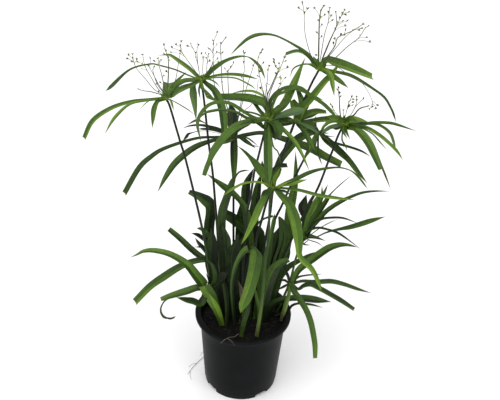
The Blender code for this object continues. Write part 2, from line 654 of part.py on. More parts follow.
def drum(centre, radius, height):
    """A small eight-sided knot, where leaves or rays meet."""
    bm = bmesh.new()
    bmesh.ops.create_cone(bm, cap_ends=True, segments=8, radius1=radius, radius2=radius, depth=height)
    bmesh.ops.translate(bm, vec=centre, verts=bm.verts)
    return bm


def crown(name, plan, group, helpers, finishes):
    """A stem, its whorl of leaves and, where it blooms, its flower head."""
    across, down, behind = plan["knot"]
    knot = seen_at(across, down, behind * MM)
    low, middle, high = plan.get("sheath", STEM_RADII)
    foot = seen_on(*plan["stem"][0], SOIL_TOP + GAP + low * MM / 2)
    under = knot - Vector((0, 0, KNOT_HEIGHT / 2 + GAP + high * MM / 2))
    passed = set_out(foot, (under.y - foot.y) / MM, [*plan["stem"][1:], project(under)])
    passed[-1] = under
    line = smooth([foot, *passed], STEM_STEPS)
    half = STEM_STEPS / 2
    ends = [low if step < half else high for step in range(STEM_STEPS + 1)]
    radii = [(middle + (end - middle) * abs(step / half - 1)) * MM for step, end in enumerate(ends)]
    tube("stem_" + name, line, radii, group, finishes["stem"])

    limbs = bmesh.new()
    for reach, points in plan["leaves"]:
        add_leaf(limbs, knot, reach, points)
    core = drum(knot, KNOT_RADIUS, KNOT_HEIGHT)
    fuse("leaf_whorl_" + name, core, limbs, group, helpers, finishes["leaf"])

    if plan["rays"]:
        bead = knot + Vector((0, 0, KNOT_HEIGHT / 2 + GAP + BEAD_RADIUS))
        limbs = bmesh.new()
        for reach, fork, tip in plan["rays"]:
            add_ray(limbs, bead, reach, fork, tip)
        core = drum(bead, BEAD_RADIUS, BEAD_RADIUS * 2)
        fuse("flower_head_" + name, core, limbs, group, helpers, finishes["flower"])


def root(name, path, group, finish):
    values = []
    for bearing, radius, height in path:
        turn = math.radians(bearing)
        values.append(Vector((math.sin(turn) * radius, -math.cos(turn) * radius, height)) * MM)
    tube(name, smooth(values, ROOT_STEPS), [ROOT_RADIUS] * (ROOT_STEPS + 1), group, finish)


def main():
    clear_scene()
    group = collection("potted_papyrus")
    helpers = collection("cutters", hidden=True)
    finishes = {
        "pot": material("black_plastic", (0.02, 0.021, 0.022), 0.45),
        "soil": material("potting_soil", (0.03, 0.022, 0.016), 0.95),
        "stem": material("green_stem", (0.05, 0.11, 0.03), 0.5),
        "leaf": material("green_leaf", (0.07, 0.18, 0.03), 0.45),
        "flower": material("green_flower", (0.35, 0.42, 0.2), 0.7),
        "root": material("pale_root", (0.4, 0.33, 0.24), 0.8),
    }
    pot(group, helpers, finishes["pot"])
    soil(group, finishes["soil"])
    for name, plan in CROWNS.items():
        crown(name, plan, group, helpers, finishes)
    for name, (across, down, reach, points) in SOIL_LEAVES.items():
        bm = bmesh.new()
        foot = seen_on(across, down, SOIL_TOP + FOOT_LIFT)
        add_leaf(bm, foot, reach, points, from_soil=True)
        object_of(bm, "soil_leaf_" + name, group, finishes["leaf"])
    for name, path in ROOTS.items():
        root(name, path, group, finishes["root"])


main()
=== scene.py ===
"""A potted papyrus plant in its black nursery pot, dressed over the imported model.

Leaves, stems and flower rays are set out by the picture points through which they pass. Each has a depth
behind the pot's axis at its foot and a reach, how much further back its tip lies, both in millimetres.
"""

import math
import random

import bmesh
import bpy
from mathutils import Matrix, Vector

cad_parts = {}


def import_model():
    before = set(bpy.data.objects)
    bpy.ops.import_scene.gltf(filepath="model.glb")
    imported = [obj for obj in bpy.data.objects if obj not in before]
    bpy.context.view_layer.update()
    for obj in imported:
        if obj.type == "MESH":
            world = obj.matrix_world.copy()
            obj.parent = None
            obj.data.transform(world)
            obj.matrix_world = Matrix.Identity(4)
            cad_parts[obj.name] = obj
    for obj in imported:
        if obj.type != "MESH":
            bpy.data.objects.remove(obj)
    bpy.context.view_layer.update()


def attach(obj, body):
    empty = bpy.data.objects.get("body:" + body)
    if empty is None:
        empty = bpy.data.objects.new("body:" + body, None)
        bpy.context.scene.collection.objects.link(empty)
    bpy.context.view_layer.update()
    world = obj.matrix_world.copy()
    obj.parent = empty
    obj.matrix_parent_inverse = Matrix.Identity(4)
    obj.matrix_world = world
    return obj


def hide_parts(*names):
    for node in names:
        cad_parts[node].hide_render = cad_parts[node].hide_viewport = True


MM = 0.001

# Where the eye stands, and the picture that it sees, in picture dots.
EYE = Vector((1.7, -903.4, 899.8)) * MM
FOCAL = 951.8
PITCH = math.radians(34.52)
ROLL = math.radians(2.78)
PICTURE = (500, 400)
FILM = 36

POT_HEIGHT = 110 * MM
RIM_RADIUS = 60 * MM
MOUTH_RADIUS = 54 * MM
FOOT_RADIUS = 46 * MM
WALL = 1.6 * MM
LIP_HEIGHT = 5 * MM
FOOT_STEP = 7 * MM
NOTCH = (18 * MM, 5 * MM)
NOTCH_BEARINGS = (-142, -52, 38, 128)
SOIL_TOP = 97 * MM

KNOT_RADIUS = 3.2 * MM
KNOT_HEIGHT = 3.6 * MM
BEAD_RADIUS = 1.7 * MM
STEM_RADII = (1.7, 1.45, 1.2)
TURN_TO_EYE = 0.7
LEAST_SHOWN = 0.4
FOOT_WIDTH = 0.8
KNOT_WIDTH = 0.6
FOOT_LIFT = 1.1 * MM

# How far a leaf's colour goes from the darkest, in painted deep shade inside the plant, to the brightest, in
# painted full light: painted shade and light over the leaf's own green.
TONES = {
    "dead": 0.1, "deep": 0.08, "dusk": 0.26, "shade": 0.35,
    "mid": 0.5, "green": 0.66, "fresh": 0.83, "lit": 1.0,
}

# Each crown of leaves: the middle of its knot (u, v, millimetres behind the axis), its stem from the soil
# upwards, and its leaves as (tone, reach, picture points with the width seen there).
CROWNS = {
    "left": {
        "knot": (166.5, 98.5, 10),
        "stem": [(219, 320), (211, 285), (208, 262), (204.5, 240), (199, 214), (193, 189), (185, 157),
                 (180, 141), (170, 107)],
        "leaves": [
            ("green", -15, [(150, 99.6, 3.2), (130, 101.8, 3.4), (110, 108.5, 4.2),
                            (92.5, 120.7, 4.7), (83.7, 138.3, 4)]),
            ("green", -55, [(146, 100.5, 2), (129, 104.5, 2.5), (114.3, 118, 3.3), (104.3, 135, 0)]),
            ("green", -35, [(157.5, 101.3, 4), (154, 109, 5.4), (153, 118, 4), (152.3, 128, 0)]),
            ("fresh", -35, [(170.5, 100, 2), (172.3, 105, 2), (173.8, 111, 0)]),
            ("mid", -20, [(177, 103, 1), (187, 109, 1), (196, 115.5, 0)]),
            ("green", -40, [(154, 98.5, 1), (146, 103, 1), (139, 110.5, 0)]),
            ("fresh green", 50, [(166.8, 92, 9), (168.5, 81.5, 10.5)]),
            ("fresh", 10, [(163, 96, 3.5), (160, 93.5, 0)]),
            ("green", 20, [(165, 95.5, 5), (163.5, 90, 0)]),
            ("green", 55, [(172, 86, 2.5), (180, 78, 2.5), (187, 71.5, 0)]),
            ("mid green", 45, [(171, 93, 5), (174.5, 86, 5), (175.5, 81, 0)]),
            ("deep mid", 30, [(173, 95, 4), (178, 90, 4), (182, 85, 0)]),
        ],
    },
    "back_left": {
        "knot": (201, 79.5, 40),
        "stem": [(225, 317), (221, 280), (218.3, 245), (217, 225), (215, 200), (213, 176), (211, 160),
                 (208.5, 142), (204, 100)],
        "leaves": [
            ("shade", 10, [(188, 75, 1.5), (175, 69.5, 1.5), (160, 65.5, 1.5), (150, 64, 1.5),
                           (130, 69.5, 2), (112, 85.5, 3.5), (105.5, 91, 0)]),
            ("green fresh", 45, [(190, 69, 4), (180, 61.5, 4), (172, 56, 3), (168, 54.5, 2),
                                 (158, 55.5, 0)]),
            ("shade fresh", 30, [(212, 70, 5), (218, 65.3, 4.6), (225, 61, 3.6), (233, 57.8, 3),
                                 (241, 56.2, 2), (247, 56.7, 1), (252, 59, 2), (258, 64.3, 3), (262, 70, 2.7),
                                 (265.5, 79.5, 0)]),
            ("green", 5, [(215, 75.5, 2.3), (230, 74, 3), (245, 75.5, 3), (259, 79.5, 0)]),
            ("green", -25, [(215, 77.5, 1.5), (235, 78, 1.5), (250, 85, 1.5), (256, 89.5, 0)]),
            ("mid", -30, [(208, 79, 1.5), (215, 82, 1.5), (220.5, 87.5, 0)]),
            ("shade green", -60, [(206.5, 83.5, 4.5), (214, 89.5, 6.5), (219, 98.5, 8), (222.5, 110, 8),
                                  (224, 123, 7.5), (224.5, 138, 4)]),
            ("frosted green", -35, [(193.5, 84.5, 5), (193.2, 93, 7.5), (194, 100, 6.5), (195.2, 110, 3.8),
                                  (196.2, 121, 0)]),
            ("mid", -50, [(200.5, 86, 2.5), (204, 90, 3), (209, 94.8, 3), (215.5, 100.3, 0)]),
            ("green mid", -40, [(192, 79.7, 4), (185, 80.3, 4.5), (178, 83.5, 5.5), (172, 90, 6),
                                (168, 97, 0)]),
            ("shade green", -60, [(192, 84.5, 4.5), (185, 87, 5.5), (178, 91, 5.5), (171, 98.5, 0)]),
            ("shade", -30, [(199.5, 85, 1.2), (199, 91, 2), (200.5, 100, 0)]),
            ("fresh", 5, [(199, 77.5, 3.5), (198, 73.5, 0)]),
            ("fresh", 5, [(203, 77.5, 3.5), (204, 73, 0)]),
            ("lit", 5, [(201, 77, 3.5), (201.5, 74.5, 0)]),
            ("fresh", -48, [(206, 95, 1.5), (210, 97.5, 3.5), (216, 100.5, 2)]),
        ],
    },
    "back": {
        "knot": (234, 137, 55),
        "stem": [(234, 311), (233.5, 240), (233.5, 192), (233.5, 160)],
        "leaves": [
            ("dusk", -20, [(215, 137, 2.5), (195, 138.5, 2.8), (165, 148, 3.8), (150, 157.3, 5),
                           (138.5, 168.7, 5.5), (124.2, 193.7, 5)]),
            ("deep shade", -50, [(216, 139.5, 3.5), (195, 147, 6), (176, 162, 6.7), (165, 178, 4.5),
                                 (157.5, 192.5, 0)]),
            ("deep", 20, [(220, 129.5, 2.8), (208, 126.3, 2.8), (200, 125, 2.2), (190, 125.7, 1.5),
                          (182, 128.5, 0)]),
            ("deep", 5, [(221, 132, 2.5), (212, 129.6, 2.5), (202, 128.8, 2), (199, 129, 0)]),
            ("dusk", 40, [(210, 126, 0.8), (203, 122, 1.2), (196, 120.3, 2.4), (186.5, 125, 0)]),
            ("deep", 40, [(236.5, 132, 3), (240.5, 128.5, 3.5), (245, 126, 3), (251, 124.3, 0)]),
            ("dusk", -30, [(228, 140, 6), (224, 142, 4.5), (218, 145, 0)]),
            ("deep green", -15, [(245, 135, 4), (262, 132.8, 4.2), (278, 137, 5.5), (295, 142.5, 7),
                                 (311, 148, 8.5), (325, 156, 7.5), (341.5, 164.4, 6.5)]),
            ("dusk", -30, [(240, 137, 4), (247, 142, 4), (256, 148.5, 0)]),
            ("shade", -25, [(246, 137.5, 1.5), (252, 141, 1.5), (258.5, 146.5, 0)]),
            ("deep green", -50, [(234, 146, 7.5), (234, 156, 7.5), (234, 165, 6.5), (234, 173, 4.8),
                                 (233.9, 181, 3), (233.7, 188, 0)]),
            ("deep", 36, [(233, 127, 10), (232.5, 117, 11), (231.5, 110, 8), (230, 104, 0)]),
            ("deep", 10, [(205, 131, 0.5), (191, 133, 1.2), (187, 135.8, 3.2), (182.5, 141, 0)]),
            ("dusk", -40, [(244, 139, 1.3), (252, 145, 1.3), (260, 147, 0)]),
        ],
    },
    "front": {
        "knot": (268, 118.5, -25),
        "stem": [(241, 322), (243.5, 260), (247, 215), (250.5, 197), (252.5, 184), (254.7, 170),
                 (257, 162), (263, 138)],
        "leaves": [
            ("mid", -50, [(268, 132, 8.5), (268, 150, 9), (268.3, 168, 8.5), (268.7, 183, 3)]),
            ("green mid", -55, [(254, 120, 5), (238, 125, 7.5), (226, 134.5, 8), (217.5, 145, 8),
                                (213, 152, 7.5), (209.7, 160, 5.2), (206.5, 168, 5), (204, 175.5, 4.2)]),
            ("mid", 10, [(258, 118.5, 3), (252, 116.5, 3), (246, 113, 3), (240, 109, 3.7),
                         (232, 104, 3.5), (224, 102, 3.5), (213, 103, 3.5), (205, 108, 3.7),
                         (199, 117, 3.7), (197.5, 127, 3), (201, 142, 0)]),
            ("shade mid", -15, [(258, 119.8, 3), (250, 119, 3), (244, 116.5, 3), (236, 112, 2.5),
                                (222, 109.7, 2.8), (211, 111, 2.8),
                                (205, 113, 2.2), (200, 118, 0)]),
            ("green mid", 65, [(267, 110, 5), (263.5, 103, 9), (252, 98.7, 8.5), (240, 97, 7.5),
                               (226, 96.3, 6.5), (219.3, 95.5, 5)]),
            ("lit", 60, [(266, 100, 2), (261, 94.5, 2.5), (252, 91, 2.5), (241, 91.3, 2), (231, 93.5, 0)]),
            ("shade", -40, [(256, 122, 3), (246, 122, 3), (236, 127, 0)]),
            ("green fresh", -55, [(275, 121, 4), (283, 129, 4.2), (291, 137, 4.2), (297, 145, 4),
                                  (302, 154, 3), (306, 163, 1.7), (309.5, 171, 0)]),
            ("mid", -35, [(273, 145, 1.5), (278, 152, 1.5), (281, 165, 0)]),
            ("mid frosted", -15, [(277, 116.5, 4), (284, 113.8, 6.5), (292, 111.5, 8), (298, 110.8, 7.5),
                                  (303.5, 110.5, 4)]),
            ("shade green", 19, [(270, 103, 3.5), (274, 95, 3.5), (281, 89.5, 3.5), (289, 87, 3.5),
                                 (300, 88, 4), (310, 95, 4), (323, 103.5, 3.8), (332, 112, 3.5),
                                 (337.5, 117.5, 0)]),
            ("mid green", 60, [(276, 97, 3), (284, 92, 3), (292, 88.5, 3), (306, 92, 3), (325, 101, 0)]),
            ("mid fresh", 65, [(276, 113, 5), (284, 104, 8), (289.5, 94, 8), (295, 81, 7), (305.5, 57, 0)]),
            ("shade", 5, [(262, 116.5, 2), (256, 113.7, 1.8), (249, 112, 1.6), (241, 110, 0)]),
            ("mid shade", 30, [(264, 115, 4), (259.5, 110.3, 3.7), (256, 105.3, 3.4), (251.5, 100.5, 2)]),
            ("dusk", -20, [(265, 126.5, 4.5), (259, 123, 4.5), (253, 119.5, 3), (247, 116.5, 0)]),
            ("green shade", 40, [(269, 112, 4), (270, 105, 4), (271, 98.5, 2.5)]),
            ("fresh", 20, [(267.5, 113, 2.5), (267, 106, 2), (266.5, 99, 0)]),
            ("lit", 10, [(269.5, 114, 2), (272, 108, 1.5), (274.5, 103, 0)]),
            ("fresh", 5, [(266, 115.5, 2.5), (262, 110.5, 0)]),
            ("fresh", 0, [(272, 116, 2), (277, 112, 0)]),
            ("shade", -30, [(276, 124, 8), (279, 130, 9), (280, 139, 0)]),
            ("dusk", -20, [(273, 127, 6), (275, 133, 6), (275, 141, 0)]),
            ("green mid", 0, [(274, 112, 5), (279.5, 108, 7), (288, 103.5, 0)]),
            ("green mid", -5, [(276, 118.5, 4), (284, 118.5, 5), (292, 118, 0)]),
            ("mid", -8, [(276, 120, 4), (284, 121, 4.5), (290, 122.5, 0)]),
        ],
    },
    "middle": {
        "knot": (295, 120.5, -10),
        "stem": [(257, 312), (264, 250), (270, 215), (273, 191), (279, 168), (285, 147), (291.5, 131)],
        "leaves": [
            ("green lit", 10, [(303, 107, 7), (309.5, 100, 7), (317.3, 90.3, 6.5), (325.5, 80.5, 6),
                               (332, 74, 5), (341, 61, 0)]),
            ("green fresh", 10, [(302, 116, 5), (309, 112.7, 6), (318, 111, 5.5), (326.5, 112, 3)]),
            ("mid", 12, [(303, 118, 3.5), (311, 115.7, 3.5), (318, 113.8, 0)]),
            ("shade green", -40, [(300, 126, 4), (306, 134, 5), (310, 142, 5), (314.5, 150, 0)]),
            ("green", 20, [(297.5, 112, 7), (295, 106, 9), (292, 99.8, 5)]),
            ("mid green", 30, [(301.5, 110, 8), (302, 102, 7), (299.7, 95, 5), (296.8, 88.5, 2.5)]),
            ("shade", 40, [(305, 107, 7), (307.5, 98, 5.5), (308, 91, 2)]),
            ("mid", 20, [(298, 114, 4), (303, 106, 6), (307, 99, 0)]),
            ("shade dusk", -12, [(290, 121.8, 6), (284, 123.3, 6), (278, 127, 0)]),
            ("mid", 0, [(289, 119, 4), (283, 118, 4), (276, 116, 0)]),
            ("frosted mid", -25, [(301, 123, 2.5), (307, 125.7, 3), (313, 129, 3), (318, 133, 2)]),
            ("mid", -10, [(303, 122.5, 4), (310, 124.5, 5), (317, 128, 0)]),
            ("green", -15, [(299, 124, 6), (303, 128, 6), (306, 133, 0)]),
            ("shade", 0, [(302, 121.5, 4), (309, 122.5, 4), (316, 124.5, 0)]),
            ("dusk", -5, [(304, 124, 3), (311, 125, 4), (317, 128.5, 0)]),
        ],
    },
    "top": {
        "knot": (319, 68.5, 5),
        "stem": [(250, 319), (254.5, 252), (262, 219), (268.7, 196), (280, 165), (292.3, 128), (309.5, 88)],
        "leaves": [
            ("shade mid", 20, [(310, 57, 4), (303, 50.3, 3), (295, 45.3, 2.4), (285, 39.7, 1.8),
                               (275, 35.4, 1.9), (265, 33.9, 2.6), (255, 35.2, 3.6), (247, 39, 3.3),
                               (240, 45, 2.5), (235, 50, 1.5), (230, 55.5, 0)]),
            ("shade fresh", 45, [(309, 57, 3), (302, 52, 3), (295, 51, 3.5), (284.5, 54.3, 3.2)]),
            ("green", -25, [(307, 64, 1.5), (294, 68, 1.5), (289.5, 79, 0)]),
            ("mid fresh", 30, [(326, 60, 6), (335, 62, 8.5), (347, 66, 9), (360, 71, 8), (373, 76.5, 5.5)]),
            ("mid shade", -15, [(334, 71.5, 3), (352, 76, 3.5), (375, 90, 2.5), (385, 98, 2.5),
                                (391, 108, 2.2), (394, 115, 2), (396, 122, 0)]),
            ("green fresh", -45, [(326.5, 70.5, 5), (331, 76, 5), (332.7, 85, 4.3), (334.3, 96.5, 0)]),
            ("green mid", -30, [(327, 72, 5), (334, 76.5, 5), (341, 82, 4.2), (348.5, 88, 0)]),
            ("mid", 40, [(316, 61, 4), (313, 56, 0)]),
            ("green", -10, [(313, 65, 2.5), (304.5, 63.5, 0)]),
            ("green mid", 10, [(317.5, 64, 5), (318, 57.5, 0)]),
            ("fresh green", -5, [(321, 65.5, 5), (322, 59, 0)]),
            ("green", 5, [(324, 65, 5), (326, 59.5, 0)]),
            ("mid", 5, [(314.5, 65, 4), (311, 59, 0)]),
        ],
    },
    "right": {
        "knot": (343.5, 124, 0),
        "stem": [(266, 316), (271, 290), (279, 268), (289, 245), (300, 222), (316.5, 191), (322.5, 177),
                 (328.5, 161), (334, 147), (338, 136)],
        "leaves": [
            ("mid", 15, [(362, 124, 3), (375, 122.5, 3), (390, 123, 3), (400, 125.5, 2.5),
                         (417.5, 131.5, 0)]),
            ("fresh", 40, [(350, 118, 4.5), (360, 119.7, 4.5), (371, 123.5, 0)]),
            ("green mid", -45, [(355, 128.5, 5.5), (362.5, 134.3, 8), (369.3, 143.5, 8.2), (375.2, 156, 7),
                                (380.3, 169.5, 3.8)]),
            ("shade", -20, [(360, 131, 2), (374, 148, 2), (382, 167, 2), (386, 177, 1.8), (391, 190, 0)]),
            ("green fresh", -10, [(365, 127, 3.5), (378, 134, 3.7), (388, 142, 3.5), (397, 151, 3),
                                  (403, 160, 0)]),
            ("green", 25, [(364, 123.5, 3), (375, 124, 3), (383, 127, 3), (390, 133, 3.3), (394, 142, 3),
                           (396, 150, 0)]),
            ("shade", -30, [(360, 127.5, 1.3), (372, 133.5, 1.3), (380, 142, 1.3), (388, 151, 0)]),
            ("mid", -40, [(343, 131, 3), (347.5, 139, 0)]),
            ("mid", -35, [(346, 131, 3), (350, 139.5, 0)]),
            ("green fresh", -10, [(336, 120.7, 4), (329, 122, 4), (325, 125.3, 3), (320.5, 130.5, 0)]),
            ("frosted mid", -35, [(337, 125.5, 4), (331, 127, 4), (326, 129.5, 3), (321, 134, 0)]),
            ("fresh mid", 25, [(335, 118.7, 6), (322, 119.3, 5.5), (310, 121, 4.5), (302, 121.5, 3)]),
            ("shade", -50, [(342, 139, 1.5), (345, 145, 1.5), (347.5, 152, 0)]),
            ("dusk", 0, [(352, 124, 2), (362, 123.5, 2), (373, 122.7, 0)]),
            ("shade", -5, [(352, 126, 1.5), (362, 126.5, 1.5), (373, 129, 0)]),
            ("fresh", 10, [(338, 119, 6), (332, 117, 5), (326, 116.5, 0)]),
            ("green", -20, [(339, 126.5, 5), (335, 128, 4), (331, 127, 0)]),
            ("fresh green", -15, [(348, 120.5, 7), (353, 120.5, 5), (359, 123, 0)]),
            ("mid", -25, [(346, 127, 6), (350, 128.5, 4), (355, 131, 0)]),
            ("fresh", 5, [(341, 119, 4), (339, 114.8, 0)]),
            ("lit", 3, [(344, 118.5, 4), (344.5, 115, 0)]),
            ("fresh", 5, [(347, 119, 4), (349.5, 115.3, 0)]),
            ("lit green", -12, [(343, 125, 5), (342, 129, 0)]),
            ("fresh", -12, [(346.5, 124.5, 4), (349, 127, 0)]),
        ],
    },
    "front_low": {
        "knot": (273, 188, -50),
        "sheath": (2.6, 1.5, 1.2),
        "stem": [(257, 335), (260, 315), (262.5, 295), (264.5, 272), (267, 248), (268.8, 232), (269.3, 215),
                 (270, 200)],
        "leaves": [
            ("lit", -5, [(266, 184, 2), (257, 181.8, 2), (250, 182.2, 2), (243, 183.5, 2.2),
                         (236, 186.8, 2.5), (230, 190.3, 2.5), (223, 196, 0)]),
            ("dusk", 10, [(268, 184, 6), (265, 180, 7), (261.5, 175, 0)]),
            ("dusk", -20, [(268, 191.5, 6), (264.5, 193, 5), (260.5, 197, 0)]),
            ("fresh shade", 25, [(266, 179, 6), (261, 171, 9), (256, 164, 7.3), (250, 157, 4),
                                 (244, 151, 2.5), (237, 145.5, 0)]),
            ("green", 20, [(271, 181, 5), (270.5, 175, 5), (270.5, 168, 0)]),
            ("lit", 8, [(272.5, 182, 2.5), (274.5, 174, 2), (276, 168, 0)]),
            ("fresh", 5, [(269, 184, 4), (265, 178, 0)]),
            ("fresh", 10, [(275, 180, 3.5), (278, 174, 4.5), (280.5, 168, 3)]),
            ("shade mid", 15, [(283, 184, 3), (298, 177.7, 4.2), (308, 173, 4), (318, 169.8, 3),
                               (330, 167.9, 2.2), (340, 167.6, 1.5), (350, 170.3, 1.2), (357, 175.5, 2),
                               (363, 182.5, 2), (368, 189.5, 0)]),
            ("lit", 0, [(283, 184.8, 3.5), (291, 183.3, 5), (299, 181.3, 3.5), (307.5, 179.5, 0)]),
            ("mid lit", -15, [(285, 188.3, 2.3), (300, 190.3, 3.2), (318, 195, 3.5), (335, 197.7, 3.3),
                              (356, 200, 0)]),
            ("mid lit", -55, [(280, 194, 6), (288.5, 203, 8.5), (292.5, 212, 10.5), (295.7, 222, 11),
                              (298, 235, 10), (299, 246, 7.5), (299.5, 255, 5.5), (304, 262, 5.3),
                              (310, 267, 5.5), (314, 272.5, 5), (317, 279, 4.2), (319.5, 285, 3),
                              (321.5, 291, 0)]),
            ("mid lit", -35, [(265, 196.5, 6), (259, 208, 7.5), (254.8, 218, 7), (250, 228, 5),
                              (245.5, 237, 3), (241, 244.5, 0)]),
            ("shade deep", 12, [(271, 176, 4), (277.5, 166.5, 5), (287.5, 165.3, 4)]),
            ("dusk", -30, [(280, 190.5, 2.5), (285, 191.5, 2.5), (291, 195, 0)]),
            ("shade", 20, [(267, 180, 5), (263, 170, 6), (262, 160, 0)]),
        ],
    },
    "right_back": {
        "knot": (318.5, 133, 35),
        "stem": [(263, 313), (271, 235), (283, 203), (297, 173), (308, 152)],
        "leaves": [
            ("shade green", -45, [(331, 141.5, 4), (341, 151.5, 5.5), (350, 161.5, 5.5), (358, 172, 4.5),
                                  (367.5, 183.5, 0)]),
            ("dusk", -5, [(328, 140, 2.5), (338, 143.7, 2.5), (350, 147, 2.5), (362, 151.3, 2),
                          (371, 157, 0)]),
            ("mid", 20, [(324, 131, 3), (331, 129, 0)]),
            ("shade", -40, [(318, 144, 2), (319, 156, 2), (322.5, 166, 0)]),
            ("green", 5, [(311, 130, 4.5), (305, 127, 5), (300, 122, 0)]),
            ("shade", 30, [(314, 127, 5), (309, 123, 5), (302, 120, 0)]),
            ("shade green", -30, [(312, 145, 3.5), (308, 152, 4), (303, 160, 0)]),
            ("dusk shade", -40, [(312, 132, 6), (304, 135, 8), (295.5, 140.5, 8.5), (288, 149, 8.5),
                                 (281.5, 158, 7.5), (277, 167, 6), (273, 177, 3)]),
            ("dusk", -35, [(325, 140, 4), (333, 146, 5.5), (341, 154, 5), (350, 164, 0)]),
            ("frosted", 10, [(325, 133, 1.5), (330, 133, 0)]),
            ("frosted", 5, [(325, 135.5, 1.5), (336.5, 137, 0)]),
            ("frosted mid", 0, [(325, 137.5, 2), (331, 140.5, 2), (338, 145.5, 0)]),
            ("mid", -20, [(315, 139, 5), (315.5, 148, 0)]),
            ("frosted green", 0, [(313, 131.5, 3), (308, 129.5, 0)]),
            ("mid green", -45, [(315, 138, 5), (312, 144, 5), (309, 151, 0)]),
            ("green", 0, [(322, 130, 2.5), (324, 126, 2.5), (327, 122, 0)]),
            ("dusk", 10, [(315, 128, 4), (314.5, 122, 4), (316, 116, 0)]),
        ],
    },
    "right_low": {
        "knot": (304, 237, 5),
        "stem": [(277, 312), (289.5, 283), (296, 258)],
        "leaves": [
            ("shade", 25, [(311, 227.5, 5), (318, 220, 5), (325, 212.2, 4.8), (333, 206, 4.6),
                           (342, 200.8, 4), (350, 197, 3.2), (362, 192.7, 2.6), (375, 191.1, 1.8),
                           (391, 191.3, 0)]),
            ("dusk shade", -5, [(312, 225.5, 4), (320, 219.7, 2.7), (328, 217.8, 2.3), (343, 218, 2),
                                (359, 223.8, 0)]),
            ("dusk green", -30, [(316, 237, 1.2), (325, 233, 1.5), (333, 230.5, 2.2), (341, 228.8, 3.3),
                                 (352, 226.5, 5), (370, 221, 5), (385.5, 216.5, 0)]),
            ("dusk", -15, [(306, 233, 3), (312, 229, 2.7), (319, 227.7, 2.5), (328, 229.5, 2.3),
                           (340, 234, 2.3), (362, 250, 0)]),
            ("shade", -45, [(308, 236.5, 5), (316, 237.5, 3), (326, 241, 0)]),
            ("mid green", 30, [(308, 222, 7), (313, 211, 8), (317, 201, 7), (319.5, 193, 0)]),
            ("shade", 60, [(315, 219, 5), (321, 209, 5), (327, 199.5, 4.5), (331, 193.5, 1.5),
                           (342, 183, 1), (354, 173.5, 0)]),
            ("deep", 45, [(306, 220, 6), (303, 208, 10), (304.5, 201, 6), (306.5, 194.5, 0)]),
            ("dusk", 50, [(308, 216, 6), (310, 204, 5), (312.5, 195, 0)]),
            ("green", 35, [(316, 210, 5), (321.5, 198, 3.5), (322, 184.5, 0)]),
            ("green", 45, [(319, 205, 3), (324, 193, 3), (328, 184, 0)]),
            ("deep", -40, [(303, 243.5, 1.5), (306, 241.5, 1.2), (309.5, 239.3, 0)]),
            ("deep", -38, [(303, 243.5, 1.5), (306, 244.8, 1.2), (311, 245, 0)]),
            ("dusk", 42, [(309, 209, 5), (304, 210.5, 6), (299.5, 214.5, 0)]),
            ("shade", 25, [(305, 228, 6), (305, 219, 6), (306, 209, 0)]),
            ("mid", -20, [(320, 228, 0.9), (330, 222.5, 0.9), (338, 219, 0)]),
            ("mid", -35, [(310, 240.3, 0.9), (318, 243, 0.9), (324, 248, 0)]),
        ],
    },
    "right_shoot": {
        "knot": (290, 284, -22),
        "stem": [(281.5, 320), (285.5, 306), (289, 294)],
        "sheath": (2.4, 3.0, 1.6),
        "leaves": [
            ("shade mid", 25, [(297, 272, 6), (303, 265.7, 7), (311, 260, 7.5), (320, 253.5, 7.5),
                               (329, 247.8, 7), (338, 245, 5.5), (346, 244.6, 3.5), (352, 245.7, 2),
                               (358, 247.5, 0)]),
            ("dusk shade", 10, [(302, 281, 3), (312, 281.7, 3.7), (320, 281.7, 4.7), (332, 281.4, 4.8),
                                (345, 284.5, 4.2), (357, 288.7, 3.3), (371, 293, 0)]),
            ("dusk shade", -20, [(298, 289, 3), (304, 285.5, 4), (311, 284.3, 5), (319, 288, 5),
                                 (330, 294, 5), (342, 301, 4.8), (354.3, 309.3, 3.5)]),
            ("dusk green", -50, [(294, 291, 6), (299, 298.3, 6.2), (304.2, 306.3, 6), (307.6, 313, 6),
                                 (310.8, 322, 6), (313.2, 333, 5.8), (315, 345, 5.4), (315.2, 358.3, 4)]),
            ("deep", 20, [(298, 277.3, 2), (305, 275.5, 1.6), (312, 274.7, 1.5), (323, 274, 0)]),
            ("deep", 10, [(284, 280, 2.5), (277, 281.5, 0)]),
            ("deep", -10, [(283, 287, 2.5), (275, 291, 0)]),
            ("deep", 25, [(288, 276, 3), (284, 268, 3), (281, 262, 0)]),
        ],
    },
    "left_shoot": {
        "knot": (207, 288, -20),
        "stem": [(221.6, 323.5), (215, 308), (211, 299)],
        "sheath": (2.4, 3.6, 3.2),
        "leaves": [
            ("mid green", 20, [(203, 283.5, 10.5), (196, 275, 9.5), (190, 267.3, 8.5), (184, 262, 7.5),
                               (175, 256.4, 6.5), (165, 252.4, 5.8), (152, 250.2, 4.8), (143, 251.2, 3.4),
                               (137, 254.3, 2), (130, 257.7, 0)]),
            ("shade green", -20, [(197, 287.5, 7), (188, 290.5, 7.5), (180, 293, 7), (170, 296, 5.7),
                                  (160.8, 299.2, 4)]),
            ("deep", -22, [(190, 291, 1.2), (175, 296.5, 1.2), (165.5, 300.3, 1.4), (161.3, 306.5, 1.4),
                           (160.8, 311, 1.8), (162.3, 315, 2.3), (165.5, 318, 2.5), (170.5, 318.8, 2.2),
                           (175.3, 317.3, 1.6)]),
            ("deep dusk", -35, [(202, 302.3, 6.5), (192, 300.7, 6.5), (184, 299.4, 4.6), (176.5, 297.5, 0)]),
            ("deep", 5, [(213, 277, 8), (211, 266, 6), (206, 260, 0)]),
            ("deep", -5, [(216, 284, 9), (222, 278, 9), (228, 272, 0)]),
            ("deep", 8, [(209.5, 281, 3), (205.7, 273, 0)]),
        ],
    },
    "inner_left": {
        "knot": (218, 260, 24),
        "stem": [(229, 307.5), (224, 285)],
        "sheath": (2.2, 3, 1.8),
        "leaves": [
            ("dusk green", -30, [(203, 259.5, 6), (190, 262.3, 6.2), (178, 267.7, 7.2), (165, 276, 7.8),
